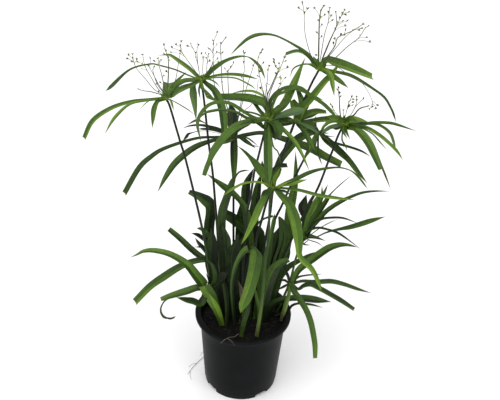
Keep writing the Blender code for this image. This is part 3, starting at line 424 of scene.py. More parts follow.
                                 (150, 286.5, 7), (134.6, 302, 6.5)]),
            ("deep shade", 25, [(206, 259, 5.5), (199, 255.2, 6), (190, 247.7, 6), (180, 238.1, 5.7),
                                (169, 228.9, 5)]),
            ("deep shade", 30, [(213.5, 250, 12), (209.3, 236, 12), (209.3, 224, 12.5), (211, 212, 15.5),
                                (209.7, 204, 14), (202, 197.7, 9), (195, 194.2, 6.7), (188.8, 191.7, 4.4)]),
            ("deep", -10, [(207, 242, 5), (203, 238.5, 4), (198, 235, 3.8), (191, 233, 0)]),
            ("mid", 10, [(208, 236, 4), (205, 231.5, 4.5), (201, 228.7, 3.5), (197.3, 228.3, 1)]),
            ("deep", -25, [(208, 254, 4), (204, 249, 4.7), (199.5, 243.5, 4), (195, 237.5, 0)]),
            ("deep", -20, [(206, 251, 2), (201, 247.3, 2), (194, 247, 0)]),
        ],
    },
}

SOIL_LEAVES = {
    "curling": ("deep shade", 228, 316, 5, [(226, 270, 10), (222, 245, 9), (221.5, 225, 8.5),
                                            (222.7, 211, 9), (226, 200, 8), (229.5, 190, 7.3),
                                            (232.5, 181, 5), (235.5, 176.5, 2.2), (239, 172.2, 1.8),
                                            (244, 170.6, 1.7), (250, 170.2, 0)]),
    "tall_left": ("deep", 239, 303, 30, [(239, 262, 11), (240, 240, 10), (241.5, 218, 10.5),
                                         (244, 208, 10), (245.5, 200, 9.3), (245.8, 190, 9), (247, 183, 7.3),
                                         (250, 176, 4.7), (253.5, 168.5, 0)]),
    "tall_right": ("deep dusk", 247, 303, 30, [(249, 262, 11), (251, 240, 12), (252.5, 222, 12),
                                               (254.5, 208, 9.5), (256.3, 196, 8.7), (257.8, 187, 7),
                                               (259.5, 180, 4), (261.5, 173.5, 0)]),
    "crossing": ("deep green", 250, 310, 15, [(250, 262, 9), (248, 225, 9), (245, 209, 7),
                                              (241.3, 202, 5.8), (236.5, 196.5, 5.8), (231, 191.5, 6.3),
                                              (225.5, 187.5, 6.8), (220, 183.5, 5.3), (213, 178.3, 2.7),
                                              (206.5, 173.5, 0)]),
    "bridge": ("deep dusk", 258, 302, 6, [(261, 275, 10), (258, 250, 12), (252, 236, 13), (244, 227, 12),
                                          (235, 220, 10.8), (229, 216, 10), (222, 211.5, 7)]),
    "hanging": ("deep fresh", 235, 325, -25, [(232, 292, 4), (233.5, 273, 4), (238, 260, 4.5),
                                              (244, 251, 6), (250.5, 249, 9), (255.5, 254.5, 13.5),
                                              (255.3, 264, 14), (252, 280, 11), (247.5, 295, 7.5),
                                              (243, 306, 3.7), (240.5, 313, 0)]),
    # A broad blade in painted deep shade, put to fill the dark hollow between the tall leaves.
    "deep": ("deep", 262, 307, 8, [(262, 280, 13), (261, 262, 16), (259.5, 245, 17), (258.5, 234, 13.5),
                                   (257.5, 226.5, 6)]),
    "right_broad": ("dusk", 266, 316, 10, [(272, 290, 12), (279, 262, 15), (284, 247, 18), (285, 234, 13),
                                           (282.3, 223.5, 8), (279, 216.7, 2)]),
    "right_folded": ("deep dusk", 262, 322, -12, [(263.5, 305, 12), (267.5, 285, 12.5), (273.5, 270, 10.5),
                                                  (281, 262.7, 7.5), (289, 259.5, 4.7)]),
    "right_dark": ("dusk mid", 256, 320, 10, [(262, 285, 9), (267, 258, 8), (270.5, 240, 4.5),
                                              (272.5, 228, 4.2), (274, 220.5, 4.2), (274.5, 213.5, 0)]),
    "spear": ("dusk green", 270, 309, 30, [(281, 270, 8), (287.5, 240, 9), (288.7, 218, 8.5),
                                           (291.3, 203, 9), (294, 190, 7.3), (295.5, 178, 5),
                                           (295.8, 165, 3.3), (295.5, 151, 0)]),
    "low_right": ("deep shade", 265, 320, 3, [(273, 304, 7), (285, 299, 6), (297, 297.7, 6.3),
                                              (308, 298.5, 7.2), (319, 300, 5.7), (331, 301.8, 0)]),
    "front_young": ("shade deep", 241, 337, 8, [(244, 322, 5), (248, 309, 4.7), (249.7, 298, 0)]),
    "left_young": ("deep", 226, 327, 12, [(227, 308, 4), (225, 288, 5), (219, 272, 0)]),
    "middle_dark": ("deep", 230, 318, 0, [(233, 290, 11), (231.5, 265, 13), (233, 252, 10), (237, 241, 5),
                                          (238, 234, 0)]),
    "right_low": ("dusk shade", 270, 311, 5, [(277, 284, 6), (284, 272, 6), (290, 265.7, 5.7),
                                              (300, 260.2, 4.5), (310, 255.5, 4.2), (319.7, 251.2, 0)]),
    "over_rim": ("shade", 275, 315.5, -20, [(287, 311, 2.5), (292, 305.5, 2.5), (299, 303.4, 2.2),
                                            (311, 304.5, 2.2), (323, 307.6, 0)]),
}

# Young and narrow blades that stand close inside the clump, as the soil leaves are given. The broad deep ones
# fill the clump's dark core with painted shade.
INNER_LEAVES = [
    ("deep", 224, 320, 8, [(219, 300, 12), (215, 280, 13), (212.5, 270, 13), (211, 261, 15),
                           (211.5, 250, 13), (212, 238, 8),
                           (211, 228, 0)]),
    ("deep", 232, 318, 6, [(228, 292, 14), (226, 268, 15), (225, 252, 15), (224.7, 241, 13),
                           (222.7, 231, 7.5), (221, 222, 0)]),
    ("deep", 242, 318, 4, [(240, 290, 12), (239.5, 265, 12), (241, 248, 10.5), (243, 236, 0)]),
    ("deep", 264, 316, 12, [(266, 290, 12), (270.5, 264, 14), (274.5, 249, 15), (277.7, 238, 12.5),
                            (281, 229, 6), (283, 222, 0)]),
    ("deep", 268, 314, 8, [(272, 290, 10), (279, 268, 12), (285, 252, 11), (288, 240, 0)]),
    ("mid", 257.5, 337, 5, [(259, 311, 3.2), (256.5, 297, 3), (254, 284, 0)]),
    ("mid green", 222, 325, -17, [(218.5, 314, 6.5), (214, 304, 9.5), (209.5, 294.5, 12), (204, 285, 11)]),
    ("lit", 223, 325, -21, [(220, 314, 4), (216.5, 306, 4.5), (212.5, 299, 3), (208.5, 293, 0)]),
    ("mid", 262, 310, 22, [(257, 262, 3), (255, 236, 2.5), (257.5, 224.5, 2), (264, 218.8, 2),
                           (273, 216, 2.3)]),
    ("dead", 240, 322, -6, [(243, 308, 3), (242, 294, 5), (238.5, 280, 0)]),
    ("deep", 246, 320, 2, [(248, 292, 10), (250, 270, 10), (252, 256, 7), (254, 246, 0)]),
]

# Flower heads: rays as (thickness, reach, picture points from the knot outwards), and seeds as (u, v, kind).
FLOWERS = {
    "left": {
        "rays": [
            (1.2, 0, [(155, 90), (145.5, 79), (136.3, 68), (132.8, 58)]),
            (1.2, 12, [(159, 90), (151.5, 78), (145, 66), (142.8, 55)]),
            (1.2, -8, [(160.5, 87.5), (155, 77.5), (149, 66.5)]),
            (1.4, 15, [(163, 92), (157.5, 84.5), (153, 71.5), (153.8, 67.5)]),
            (1.6, 5, [(163.5, 83), (161.5, 74), (159.5, 67), (158.5, 60)]),
            (2, 20, [(168, 82), (168.4, 60.5), (164.5, 48)]),
            (1.2, 5, [(171, 88), (175.5, 80), (178, 66), (180, 54)]),
            (1.7, -20, [(159, 94), (150, 91.5), (145, 91), (139, 89.5)]),
        ],
        "seeds": [
            (132.5, 62, "straw"), (133, 58.5, "brown"), (128.3, 59, "brown"), (129, 55.5, "straw"),
            (132.5, 54.5, "brown"), (136.5, 60, "straw"), (138.5, 62.2, "brown"), (142.5, 64.5, "green"),
            (142.5, 69, "green"), (142.8, 55, "brown"), (149, 66.5, "straw"), (157.5, 84.5, "straw"),
            (153.8, 67.5, "brown"), (159, 62, "green"), (159.5, 67, "green"), (158, 59, "straw"),
            (161, 60.5, "green"), (155, 61.5, "brown"), (150.5, 59, "brown"), (163.5, 76, "straw"),
            (161, 83, "brown"), (168.5, 58, "straw"), (164.5, 54.5, "brown"), (166, 51.5, "straw"),
            (164, 45.5, "brown"), (167, 72, "dark"), (180, 54, "straw"), (158.5, 92.5, "dark"),
            (139, 89.5, "brown"), (168.8, 60.8, "green"),
        ],
    },
    "back_left": {
        "rays": [
            (1.2, 10, [(196, 72), (192, 66.5), (182.7, 53.4), (180.5, 46)]),
            (1.2, 20, [(200, 76), (198, 65), (196, 58), (195.5, 53.5), (190.8, 44.2)]),
            (1.2, 0, [(200, 76), (198, 65), (197, 50), (198.3, 45.5)]),
            (1.2, 15, [(202, 76), (203, 63), (203.3, 58.5)]),
            (1.2, 5, [(206, 74), (207, 64.5), (208.5, 54.5)]),
            (1.9, -5, [(206, 75), (209, 70), (212.5, 64)]),
        ],
        "seeds": [
            (180.7, 51.5, "brown"), (180.5, 46, "straw"), (181, 42, "brown"), (176.5, 45, "straw"),
            (172.5, 48, "brown"), (171.5, 52.8, "straw"), (188.5, 46.5, "straw"), (196, 58, "green"),
            (195.5, 53.5, "brown"), (190.8, 44.2, "straw"), (198.3, 45.5, "brown"), (203.3, 58.5, "green"),
            (201.5, 54, "brown"), (206.5, 58.5, "straw"), (208.5, 54.5, "brown"), (205.5, 53.5, "straw"),
            (212.5, 64, "straw"), (209, 61.5, "brown"),
        ],
    },
    "back": {
        "rays": [
            (1.5, 10, [(229, 121), (222, 105), (214.5, 85), (213.5, 70), (213, 51)]),
            (1.2, 8, [(222, 105), (214.5, 85), (213.5, 70), (213.3, 45), (217, 33)]),
            (1.7, 0, [(229, 114), (223.5, 93.5), (222, 83), (221.5, 71), (220.8, 54), (220.5, 45.5),
                 (225, 38.5)]),
            (1.6, 15, [(230, 114), (228.5, 92.5), (228, 72), (230.5, 68), (233.5, 63)]),
            (1.4, 5, [(239, 112), (243.3, 89), (243.7, 73), (245, 71), (243.8, 63)]),
            (1.4, 12, [(241, 108), (246, 89.5), (252.5, 69), (254.5, 62.5)]),
            (1.2, 14, [(244, 112), (251, 105), (256.3, 92.7), (258.3, 80)]),
        ],
        "seeds": [
            (213, 51, "dark"), (209, 49, "brown"), (210.5, 50, "straw"), (213.3, 45, "brown"),
            (213.3, 41, "straw"), (222, 83, "dark"), (221, 44, "brown"), (216.5, 52.8, "straw"),
            (222, 53, "brown"), (216.8, 45, "green"), (217, 59.5, "green"), (219, 62.5, "green"),
            (221, 64, "green"), (219.5, 53, "straw"), (225, 38.5, "brown"), (228, 72, "dark"),
            (225, 69, "straw"), (233.5, 63, "brown"), (230.5, 68, "straw"), (242.3, 78, "brown"),
            (244.5, 53.5, "straw"), (243, 52, "brown"), (243.8, 63, "straw"), (253, 66, "straw"),
            (254.5, 62.5, "brown"), (217, 33, "straw"),
        ],
    },
    "front": {
        "rays": [
            (1.9, 15, [(267, 97.3), (271, 86.7), (275, 77.3), (278.3, 69.5), (275.7, 67), (274, 60)]),
            (1.4, 0, [(269, 97), (275, 80), (280.3, 68), (284.3, 58)]),
            (1.2, -5, [(265.7, 97), (267, 84), (268, 71), (269, 66.5)]),
            (1.2, 3, [(265, 102), (263, 92.5), (261, 89)]),
            (1.2, 8, [(265, 98), (261.5, 85), (258.5, 70), (258, 58.5), (261.5, 50.5)]),
            (1.2, -3, [(271, 103), (277, 90.7), (281.7, 82.7)]),
            (1.2, 2, [(272, 110), (277, 106.5), (281.7, 103.3), (285, 95.3)]),
            (1.2, 4, [(267, 92), (265.7, 83.3), (270.3, 85.3)]),
        ],
        "seeds": [
            (275.8, 74, "dark"), (278.3, 69.5, "green"), (279, 64, "straw"), (275.7, 67, "brown"),
            (274, 60, "straw"), (274, 63, "brown"), (285, 61.5, "straw"), (286.7, 68, "brown"),
            (284.3, 58, "brown"), (268, 71, "green"), (269, 66.5, "brown"), (258, 58.5, "green"),
            (260, 53.5, "straw"), (261.5, 50.5, "straw"), (259.5, 72, "brown"), (258.5, 66.5, "straw"),
            (258.5, 76.5, "straw"), (262.7, 63.5, "brown"), (280, 84, "straw"), (284.7, 78.5, "brown"),
            (279.5, 77.5, "straw"), (280.7, 79.5, "green"), (261, 89, "brown"), (285, 95.3, "straw"),
        ],
    },
    "top": {
        "rays": [
            (1.2, 10, [(314, 60), (310, 53), (305.4, 35.7), (304.3, 21.4), (304.2, 13.2), (302.5, 2.5)]),
            (2.3, 0, [(318.6, 57), (319, 34.3), (319.4, 21.4), (320.8, 11.1), (323.3, 6.5)]),
            (1.2, -8, [(320.7, 57), (324.3, 35.7), (327.9, 23.6), (328.6, 20.4), (329.5, 8.5)]),
            (1.7, 15, [(322.9, 57), (330, 40), (335.2, 29.2), (336.7, 23.4), (335.9, 12.5)]),
            (1.2, 20, [(323.5, 57), (330.5, 40), (335.5, 29.2), (339.9, 18.8), (344.3, 10.5)]),
            (1.7, -12, [(328.6, 55), (335, 45.7), (337.4, 38.1), (346, 33.5), (353, 30.6), (362.6, 24.4)]),
            (1.2, 5, [(330, 55), (340, 42.9), (346, 36.4), (353, 30.6)]),
            (1.5, 10, [(332, 60), (336.4, 57), (347, 47), (358.6, 37.9), (364.9, 28.5), (367.9, 26.4)]),
            (1.0, -60, [(335, 66), (350, 76), (360, 81), (367, 90), (372, 100), (372.6, 106)]),
        ],
        "seeds": [
            (304.2, 13.2, "dark"), (302.3, 3.5, "brown"), (307.3, 9.3, "straw"), (299.5, 8.7, "straw"),
            (320.4, 18.2, "green"), (318.5, 20.9, "brown"), (323.3, 6.5, "straw"), (320.8, 11.1, "brown"),
            (324, 15.5, "straw"), (315, 8.6, "straw"), (317.5, 33.2, "brown"), (321.5, 25.4, "straw"),
            (321.3, 37, "brown"), (316.7, 55.4, "dark"), (328.3, 12.8, "brown"), (330.8, 16.4, "straw"),
            (329.5, 8.5, "straw"), (331.8, 20.8, "brown"), (335.2, 29.2, "dark"), (336.7, 23.4, "straw"),
            (339.9, 18.8, "dark"), (341.9, 21.4, "straw"), (335.9, 12.5, "brown"), (344.3, 10.5, "straw"),
            (344.6, 14.6, "brown"), (342, 13.6, "straw"), (347.9, 12.4, "straw"), (333.6, 44, "brown"),
            (335, 39.3, "straw"), (340.5, 35, "brown"), (343.4, 35.2, "straw"), (353, 30.6, "dark"),
            (362.6, 24.4, "straw"), (358, 30, "brown"), (360.7, 28.6, "straw"), (345.4, 30.7, "straw"),
            (344.8, 26, "brown"), (346.6, 21.4, "straw"), (360.5, 36, "green"), (364.9, 28.5, "straw"),
            (367.9, 26.4, "brown"), (369, 42, "straw"), (366, 37.5, "brown"), (372.6, 106, "dark"),
            (370, 108.5, "straw"), (375.5, 107.5, "brown"), (376.5, 104.5, "straw"),
        ],
    },
    "right": {
        "rays": [
            (2, 0, [(341, 117), (339.8, 110), (339.2, 97.2), (338, 89)]),
            (1.2, 2, [(343.4, 118), (343.3, 111)]),
            (1.2, 12, [(345, 117), (347.5, 108), (348.7, 103), (351.4, 97.5)]),
            (1.2, 15, [(350, 116), (356, 106), (361, 101), (363, 99.5)]),
            (1.2, -8, [(350, 116), (355.5, 106), (356.5, 101), (356.7, 97.5)]),
            (2.6, 0, [(350, 117), (354, 115), (358, 110), (362, 107.5), (367, 106.5)]),
            (1.2, 0, [(340, 117), (336, 113.5), (333.5, 109.5), (331, 105)]),
        ],
        "seeds": [
            (340, 97, "dark"), (339.5, 93.5, "brown"), (337.5, 90, "straw"), (338.5, 88.5, "brown"),
            (343.3, 111, "green"), (348.7, 106.5, "dark"), (348.7, 103, "green"), (351.4, 97.5, "straw"),
            (352.5, 99.5, "brown"), (352.3, 102.5, "straw"), (351.7, 105.5, "brown"), (363, 99.5, "straw"),
            (356.7, 97.5, "brown"), (356.5, 101, "straw"), (331, 105, "brown"), (333, 107.5, "straw"),
            (332, 110, "brown"), (367, 106.5, "straw"),
        ],
    },
}

# Roots that lie outside the soil: (degrees round from the front, radius, height), both in millimetres.
ROOTS = {
    "root_from_drain": [(-142, 43.5, 3.4), (-142, 51, 2.6), (-131, 56, 1.3), (-113, 58, 1.3),
                        (-97, 63, 1.3), (-85, 69, 1.3)],
    "root_over_rim": [(-8, 30, 98.2), (-12, 44, 105), (-16, 53, 111.2), (-20, 59, 111.4),
                      (-22, 61.4, 109.5), (-24, 61.2, 105)],
}


# Places seen in the picture


def sight(across, down):
    """The direction in which the eye sees this picture point."""
    du = across - PICTURE[0] / 2
    dv = down - PICTURE[1] / 2
    right = du * math.cos(ROLL) + dv * math.sin(ROLL)
    below = dv * math.cos(ROLL) - du * math.sin(ROLL)
    ahead, up = view_axes()
    return ahead * FOCAL + Vector((1, 0, 0)) * right - up * below


def view_axes():
    """Straight ahead and straight up for the eye, before the picture's roll."""
    ahead = Vector((0, math.cos(PITCH), -math.sin(PITCH)))
    return ahead, Vector((0, math.sin(PITCH), math.cos(PITCH)))


def seen_at(across, down, behind):
    """The place seen at this picture point and this far behind the pot's axis."""
    ray = sight(across, down)
    return EYE + ray * ((behind - EYE.y) / ray.y)


def seen_on(across, down, height):
    """The place seen at this picture point at this height."""
    ray = sight(across, down)
    return EYE + ray * ((height - EYE.z) / ray.z)


def dot_size(place):
    """How many metres one picture dot spans at this place."""
    return (place - EYE).dot(view_axes()[0]) / FOCAL


def project(place):
    """The picture point at which a place is seen."""
    off = place - EYE
    ahead, up = view_axes()
    right = off.x * FOCAL / off.dot(ahead)
    below = -off.dot(up) * FOCAL / off.dot(ahead)
    return Vector(
        (
            PICTURE[0] / 2 + right * math.cos(ROLL) - below * math.sin(ROLL),
            PICTURE[1] / 2 + right * math.sin(ROLL) + below * math.cos(ROLL),
        )
    )


def set_out(root, reach, points):
    """Places of a leaf's or ray's picture points: its depth changes evenly from its root to its tip."""
    steps = [project(root)] + [Vector(point[:2]) for point in points]
    runs = [(b - a).length for a, b in zip(steps, steps[1:])]
    places = []
    run = 0
    for point, step in zip(points, runs):
        run += step
        places.append(seen_at(point[0], point[1], root.y + reach * MM * run / sum(runs)))
    return places


def smooth(values, spacing, fewest=4):
    """Even steps along a smooth curve through values, which are vectors of any one length."""
    knots = [values[0] * 2 - values[1], *values, values[-1] * 2 - values[-2]]
    fine = []
    for a, b, c, d in zip(knots, knots[1:], knots[2:], knots[3:]):
        for step in range(24):
            t = step / 24
            fine.append((
                b * 2 + (c - a) * t + (a * 2 - b * 5 + c * 4 - d) * t**2
                + (b * 3 - a - c * 3 + d) * t**3
            ) / 2)
    fine.append(values[-1])
    runs = [0.0]
    for a, b in zip(fine, fine[1:]):
        runs.append(runs[-1] + (b - a).xyz.length)
    count = max(fewest, round(runs[-1] / spacing))
    picked = []
    place = 0
    for step in range(count + 1):
        goal = runs[-1] * step / count
        while place < len(runs) - 2 and runs[place + 1] < goal:
            place += 1
        part = (goal - runs[place]) / max(runs[place + 1] - runs[place], 1e-9)
        picked.append(fine[place].lerp(fine[place + 1], min(part, 1)))
    return picked


def headings(line):
    """The direction of travel at each place of a line."""
    last = len(line) - 1
    return [(line[min(i + 1, last)].xyz - line[max(i - 1, 0)].xyz).normalized() for i in range(last + 1)]


def ease(value):
    """0 below 0, 1 above 1, and a soft step between them."""
    value = min(max(value, 0), 1)
    return value * value * (3 - 2 * value)


# Shapes

# What a surface knows about each of its points, for its material to read. The tone carries painted shade and
# light; the last value is a painted grey-blue sheen.
FIELDS = ("tone", "across", "run", "own", "dry", "foot", "sheen_share")


class Shape:
    """Points, faces and surface values of one piece, gathered before its mesh is made."""

    def __init__(self):
        self.points = []
        self.faces = []
        self.values = []

    def add(self, points, faces, values):
        first = len(self.points)
        self.points.extend(points)
        self.values.extend(values)
        self.faces.extend(tuple(first + corner for corner in face) for face in faces)

    def skin(self, rings, values):
        """A closed skin through rings of one point count that each turn anticlockwise as seen from ahead."""
        count = len(rings[0])
        faces = [tuple(reversed(range(count)))]
        for row in range(len(rings) - 1):
            here = row * count
            for i in range(count):
                j = (i + 1) % count
                faces.append((here + i, here + j, here + count + j, here + count + i))
        faces.append(tuple(range(count * (len(rings) - 1), count * len(rings))))
        self.add(
            [point for ring in rings for point in ring], faces, [value for row in values for value in row]
        )

    def make(self, name, finish, nodes=(), sharp=48):
        """The piece itself, smooth but for its sharp edges, riding on the plant and standing for its nodes."""
        mesh = bpy.data.meshes.new(name)
        mesh.from_pydata([tuple(point) for point in self.points], [], self.faces)
        for index, field in enumerate(FIELDS):
            layer = mesh.attributes.new(field, "FLOAT", "POINT")
            layer.data.foreach_set(
                "value", [value[index] if index < len(value) else 0 for value in self.values]
            )
        mesh.shade_smooth()
        mesh.set_sharp_from_angle(angle=math.radians(sharp))
        mesh.materials.append(finish)
        piece = bpy.data.objects.new(name, mesh)
        bpy.context.scene.collection.objects.link(piece)
        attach(piece, "root")
        if nodes:
            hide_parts(*nodes)
        return piece


# Where the points of a blade's section lie, from one edge to the other.
WIDE_SHARES = (-1, -0.82, -0.52, -0.2, -0.06, 0.06, 0.2, 0.52, 0.82, 1)
NARROW_SHARES = (-1, -0.5, -0.1, 0.1, 0.5, 1)
NARROW_BELOW = 2.2 * MM
BLADE_STEP = 2.2 * MM
BLADE_THICKNESS = 0.28 * MM
BLADE_WIDTHS = (0.2 * MM, 15 * MM)
BLADE_FOLD = 0.36
# How much painted grey-blue sheen, a painted reflection of the pale room, lies on a leaf so marked in its
# tone.
PAINTED_SHEEN = 0.4
# How much darker a leaf from the soil is at its foot, deep in the clump.
SOIL_SHADE = 0.12


def add_blade(shape, rng, tone, root, reach, points, from_soil=False):
    """A thin leaf with a folded midrib along its picture points, whose width is as the picture shows it."""
    places = set_out(root, reach, points)
    widths = [points[0][2] * FOOT_WIDTH] + [point[2] for point in points]
    chord = places[-1] - root
    side = Vector((chord.y, -chord.x, 0)).normalized()
    if from_soil and chord.z > chord.xy.length:
        side = Vector((1, 0, 0))
    if not from_soil:
        heading = Vector((places[0].x - root.x, places[0].y - root.y, 0)).normalized()
        places.insert(0, root + heading * KNOT_RADIUS + Vector((0, 0, KNOT_RADIUS / 6)))
        widths.insert(0, widths[0] * KNOT_WIDTH)
        root = root + heading * KNOT_RADIUS / 3
    rows = [Vector((*place, width * dot_size(place))) for place, width in zip([root, *places], widths)]
    line = smooth(rows, BLADE_STEP, fewest=6)
    length = sum((b - a).xyz.length for a, b in zip(line, line[1:]))
    aheads = headings(line)
    if sum(side.cross(ahead).z for ahead in aheads) < 0:
        side = -side
    faced = [ahead.cross(row.xyz - EYE).normalized() for ahead, row in zip(aheads, line)]
    if sum(side.dot(face) for face in faced) < 0:
        faced = [-face for face in faced]

    own = rng.random()
    words = tone.split()
    levels = [TONES[word] for word in words if word in TONES] or [TONES["mid"]]
    first, last = levels[0], levels[-1]
    # A leaf so marked in its tone carries painted grey-blue sheen.
    sheen_share = PAINTED_SHEEN if "frosted" in words else 0
    wave = rng.uniform(0.03, 0.09)
    wave_turns = rng.uniform(0.03, 0.06) / MM
    wave_start = rng.uniform(0, math.tau)
    clipped = points[-1][2] > 0
    dry_run = (rng.uniform(0.8, 1.6) if clipped else rng.uniform(2, 10)) * MM
    dry_share = 0.35 if clipped else rng.uniform(0.1, 0.7)
    least_dry = 0.8 if tone.startswith("dead") else 0
    foot_run = rng.uniform(4, 9) * MM
    shaded = SOIL_SHADE if from_soil else 0
    shares = NARROW_SHARES if max(widths) * dot_size(root) < NARROW_BELOW else WIDE_SHARES
    rings = []
    values = []
    for step, (row, ahead, face) in enumerate(zip(line, aheads, faced)):
        run = length * step / (len(line) - 1)
        across = ((side - ahead * side.dot(ahead)).normalized() + face * TURN_TO_EYE).normalized()
        above = across.cross(ahead)
        width = row.w / max(across.dot(face), LEAST_SHOWN)
        half = min(max(width, BLADE_WIDTHS[0]), BLADE_WIDTHS[1]) / 2
        fold = half * BLADE_FOLD
        thick = BLADE_THICKNESS * min(1, half / MM)
        upper = []
        lower = []
        notes = []
        dry = max(least_dry, dry_share * ease(1 - (length - run) / dry_run))
        foot = ease(1 - run / foot_run)
        for share in shares:
            lift = fold * (math.sqrt(share * share + 0.015) - 1.0075)
            lift += half * wave * share * abs(share) * math.sin(run * wave_turns + wave_start + share)
            place = row.xyz + across * (half * share) + above * lift
            rib = 0.9 * thick * math.exp(-((share / 0.16) ** 2))
            upper.append(place)
            lower.append(place - above * (thick * (1 - 0.7 * share * share) + rib))
            # The named tones run from the first to the last along the leaf: painted shade deeper in the plant,
            # painted light further out, and extra painted shade at the foot of a soil leaf.
            level = first + (last - first) * run / length - shaded * ease(1 - 2 * run / length)
            notes.append((level, share, run + own, own, dry, foot, sheen_share))
        rings.append(upper + lower[::-1])
        values.append(notes + notes[::-1])
    shape.skin(rings, values)


def add_stalk(shape, line, radii, sides, notes, ridges=0.0):
    """A round stalk along a line. notes gives the surface values at a share of its length."""
    aheads = headings(line)
    across = aheads[0].orthogonal().normalized()
    rings = []
    values = []
    run = 0
    for step, (place, ahead, radius) in enumerate(zip(line, aheads, radii)):
        across = (across - ahead * across.dot(ahead)).normalized()
        around = ahead.cross(across)
        if step:
            run += (place.xyz - line[step - 1].xyz).length
        ring = []
        row = []
        for turn in range(sides):
            angle = math.tau * turn / sides
            out = radius * (1 + ridges * math.cos(3 * angle))
            ring.append(place.xyz + across * (out * math.cos(angle)) + around * (out * math.sin(angle)))
            row.append(notes(step / (len(line) - 1), turn / sides, run))
        rings.append(ring)
        values.append(row)
    shape.skin(rings, values)


def add_pod(shape, rng, middle, heading, length, thickness, note):
    """A small pod, pointed at both ends, along a heading."""
    heading = heading.normalized()
    line = [middle + heading * (length * (share - 0.5)) for share in (0, 0.2, 0.5, 0.8, 1)]
    radii = [thickness * share / 2 for share in (0.25, 0.8, 1, 0.7, 0.15)]
    add_stalk(shape, line, radii, 6, lambda share, turn, run: note)


# Each stem's brightness at its foot and below its crown, painted shade and light on the leaves' scale, then
# how dry and how pale its foot is.
STEM_LOOKS = {
    "left": (0.5, 0.0, 0.1, 0.0), "back_left": (0.5, 0.0, 0.1, 0.0), "back": (0.0, 0.0, 0.0, 0.0),
    "front": (0.05, 0.0, 0.1, 0.0), "middle": (0.1, 0.0, 0.1, 0.0), "top": (0.1, 0.05, 0.1, 0.0),
    "right": (0.15, 0.0, 0.1, 0.0), "front_low": (0.5, 0.22, 0.9, 0.3), "right_back": (0.05, 0.0, 0.1, 0.0),
    "right_low": (0.5, 0.45, 0.2, 0.0), "right_shoot": (0.55, 0.75, 0.8, 0.3),
    "left_shoot": (1.0, 0.8, 0.0, 0.75), "inner_left": (0.0, 0.0, 0.0, 0.0),
}


PALE_RUN = 55 * MM


def crown(name, plan, finishes):
    """A stem, its whorl of leaves and, where it blooms, its flower head."""
    rng = random.Random("crown " + name)
    across, down, behind = plan["knot"]
    knot = seen_at(across, down, behind * MM)
    low, middle, high = plan.get("sheath", STEM_RADII)
    foot = seen_on(*plan["stem"][0], SOIL_TOP + low * MM / 2)
    under = knot - Vector((0, 0, KNOT_HEIGHT / 2))
    passed = set_out(foot, (under.y - foot.y) / MM, [*plan["stem"][1:], project(under)])
    passed[-1] = under
    line = smooth([foot, *passed], 3 * MM)
    count = len(line) - 1
    radii = []
    for step in range(count + 1):
        share = 2 * step / count - 1
        radii.append((middle + ((high if share > 0 else low) - middle) * abs(share)) * MM)
    first, last, dryness, paleness = STEM_LOOKS[name]
    own = rng.random()
    sheath = rng.uniform(14, 26) * MM

    def stem_notes(share, turn, run):
        tone = first + (last - first) * ease(share * 1.5)
        return (
            tone, turn, run + own, own,
            dryness * ease(1.2 - run / sheath), paleness * ease(1.5 - run / PALE_RUN),
        )

    stem = Shape()
    add_stalk(stem, [foot - Vector((0, 0, 2 * MM)), *line], [radii[0], *radii], 12, stem_notes, ridges=0.035)
    stem.make("papyrus_stem_" + name, finishes["stem"], ["stem_" + name])

    tones = [TONES[leaf[0].split()[0]] for leaf in plan["leaves"] if leaf[0].split()[0] in TONES]
    knot_tone = sum(tones) / len(tones)
    whorl = Shape()
    heights = (-0.5, -0.42, -0.1, 0.25, 0.5)
    swell = (0.5, 0.72, 1.0, 0.9, 0.3)
    add_stalk(
        whorl,
        [knot + Vector((0, 0, KNOT_HEIGHT * height)) for height in heights],
        [KNOT_RADIUS * 0.7 * share for share in swell],
        14,
        lambda share, turn, run: (knot_tone, turn * 2 - 1, run + own, own, 0.05, 1),
    )
    for tone, reach, points in plan["leaves"]:
        add_blade(whorl, rng, tone, knot, reach, points)
    whorl.make("papyrus_leaves_" + name, finishes["leaf"], ["leaf_whorl_" + name])

    if name in FLOWERS:
        flower_head(name, knot, rng, finishes)


# Brightness and dryness of each kind of seed in the flower material.
SEED_KINDS = {"dark": (0.05, 0.6), "brown": (0.3, 0.9), "straw": (0.55, 0.3), "green": (0.95, 0.0)}
RAY_RADIUS = 0.4 * MM
GREEN_RUN = 14 * MM


def fork_length(off, heading):
    """How far a seed lies from a place on a ray, made longer where its stalk would turn back or sideways."""
    along = off.dot(heading)
    return off.length + 1.5 * max(0, 1.2 * abs(off.cross(heading)) - along)


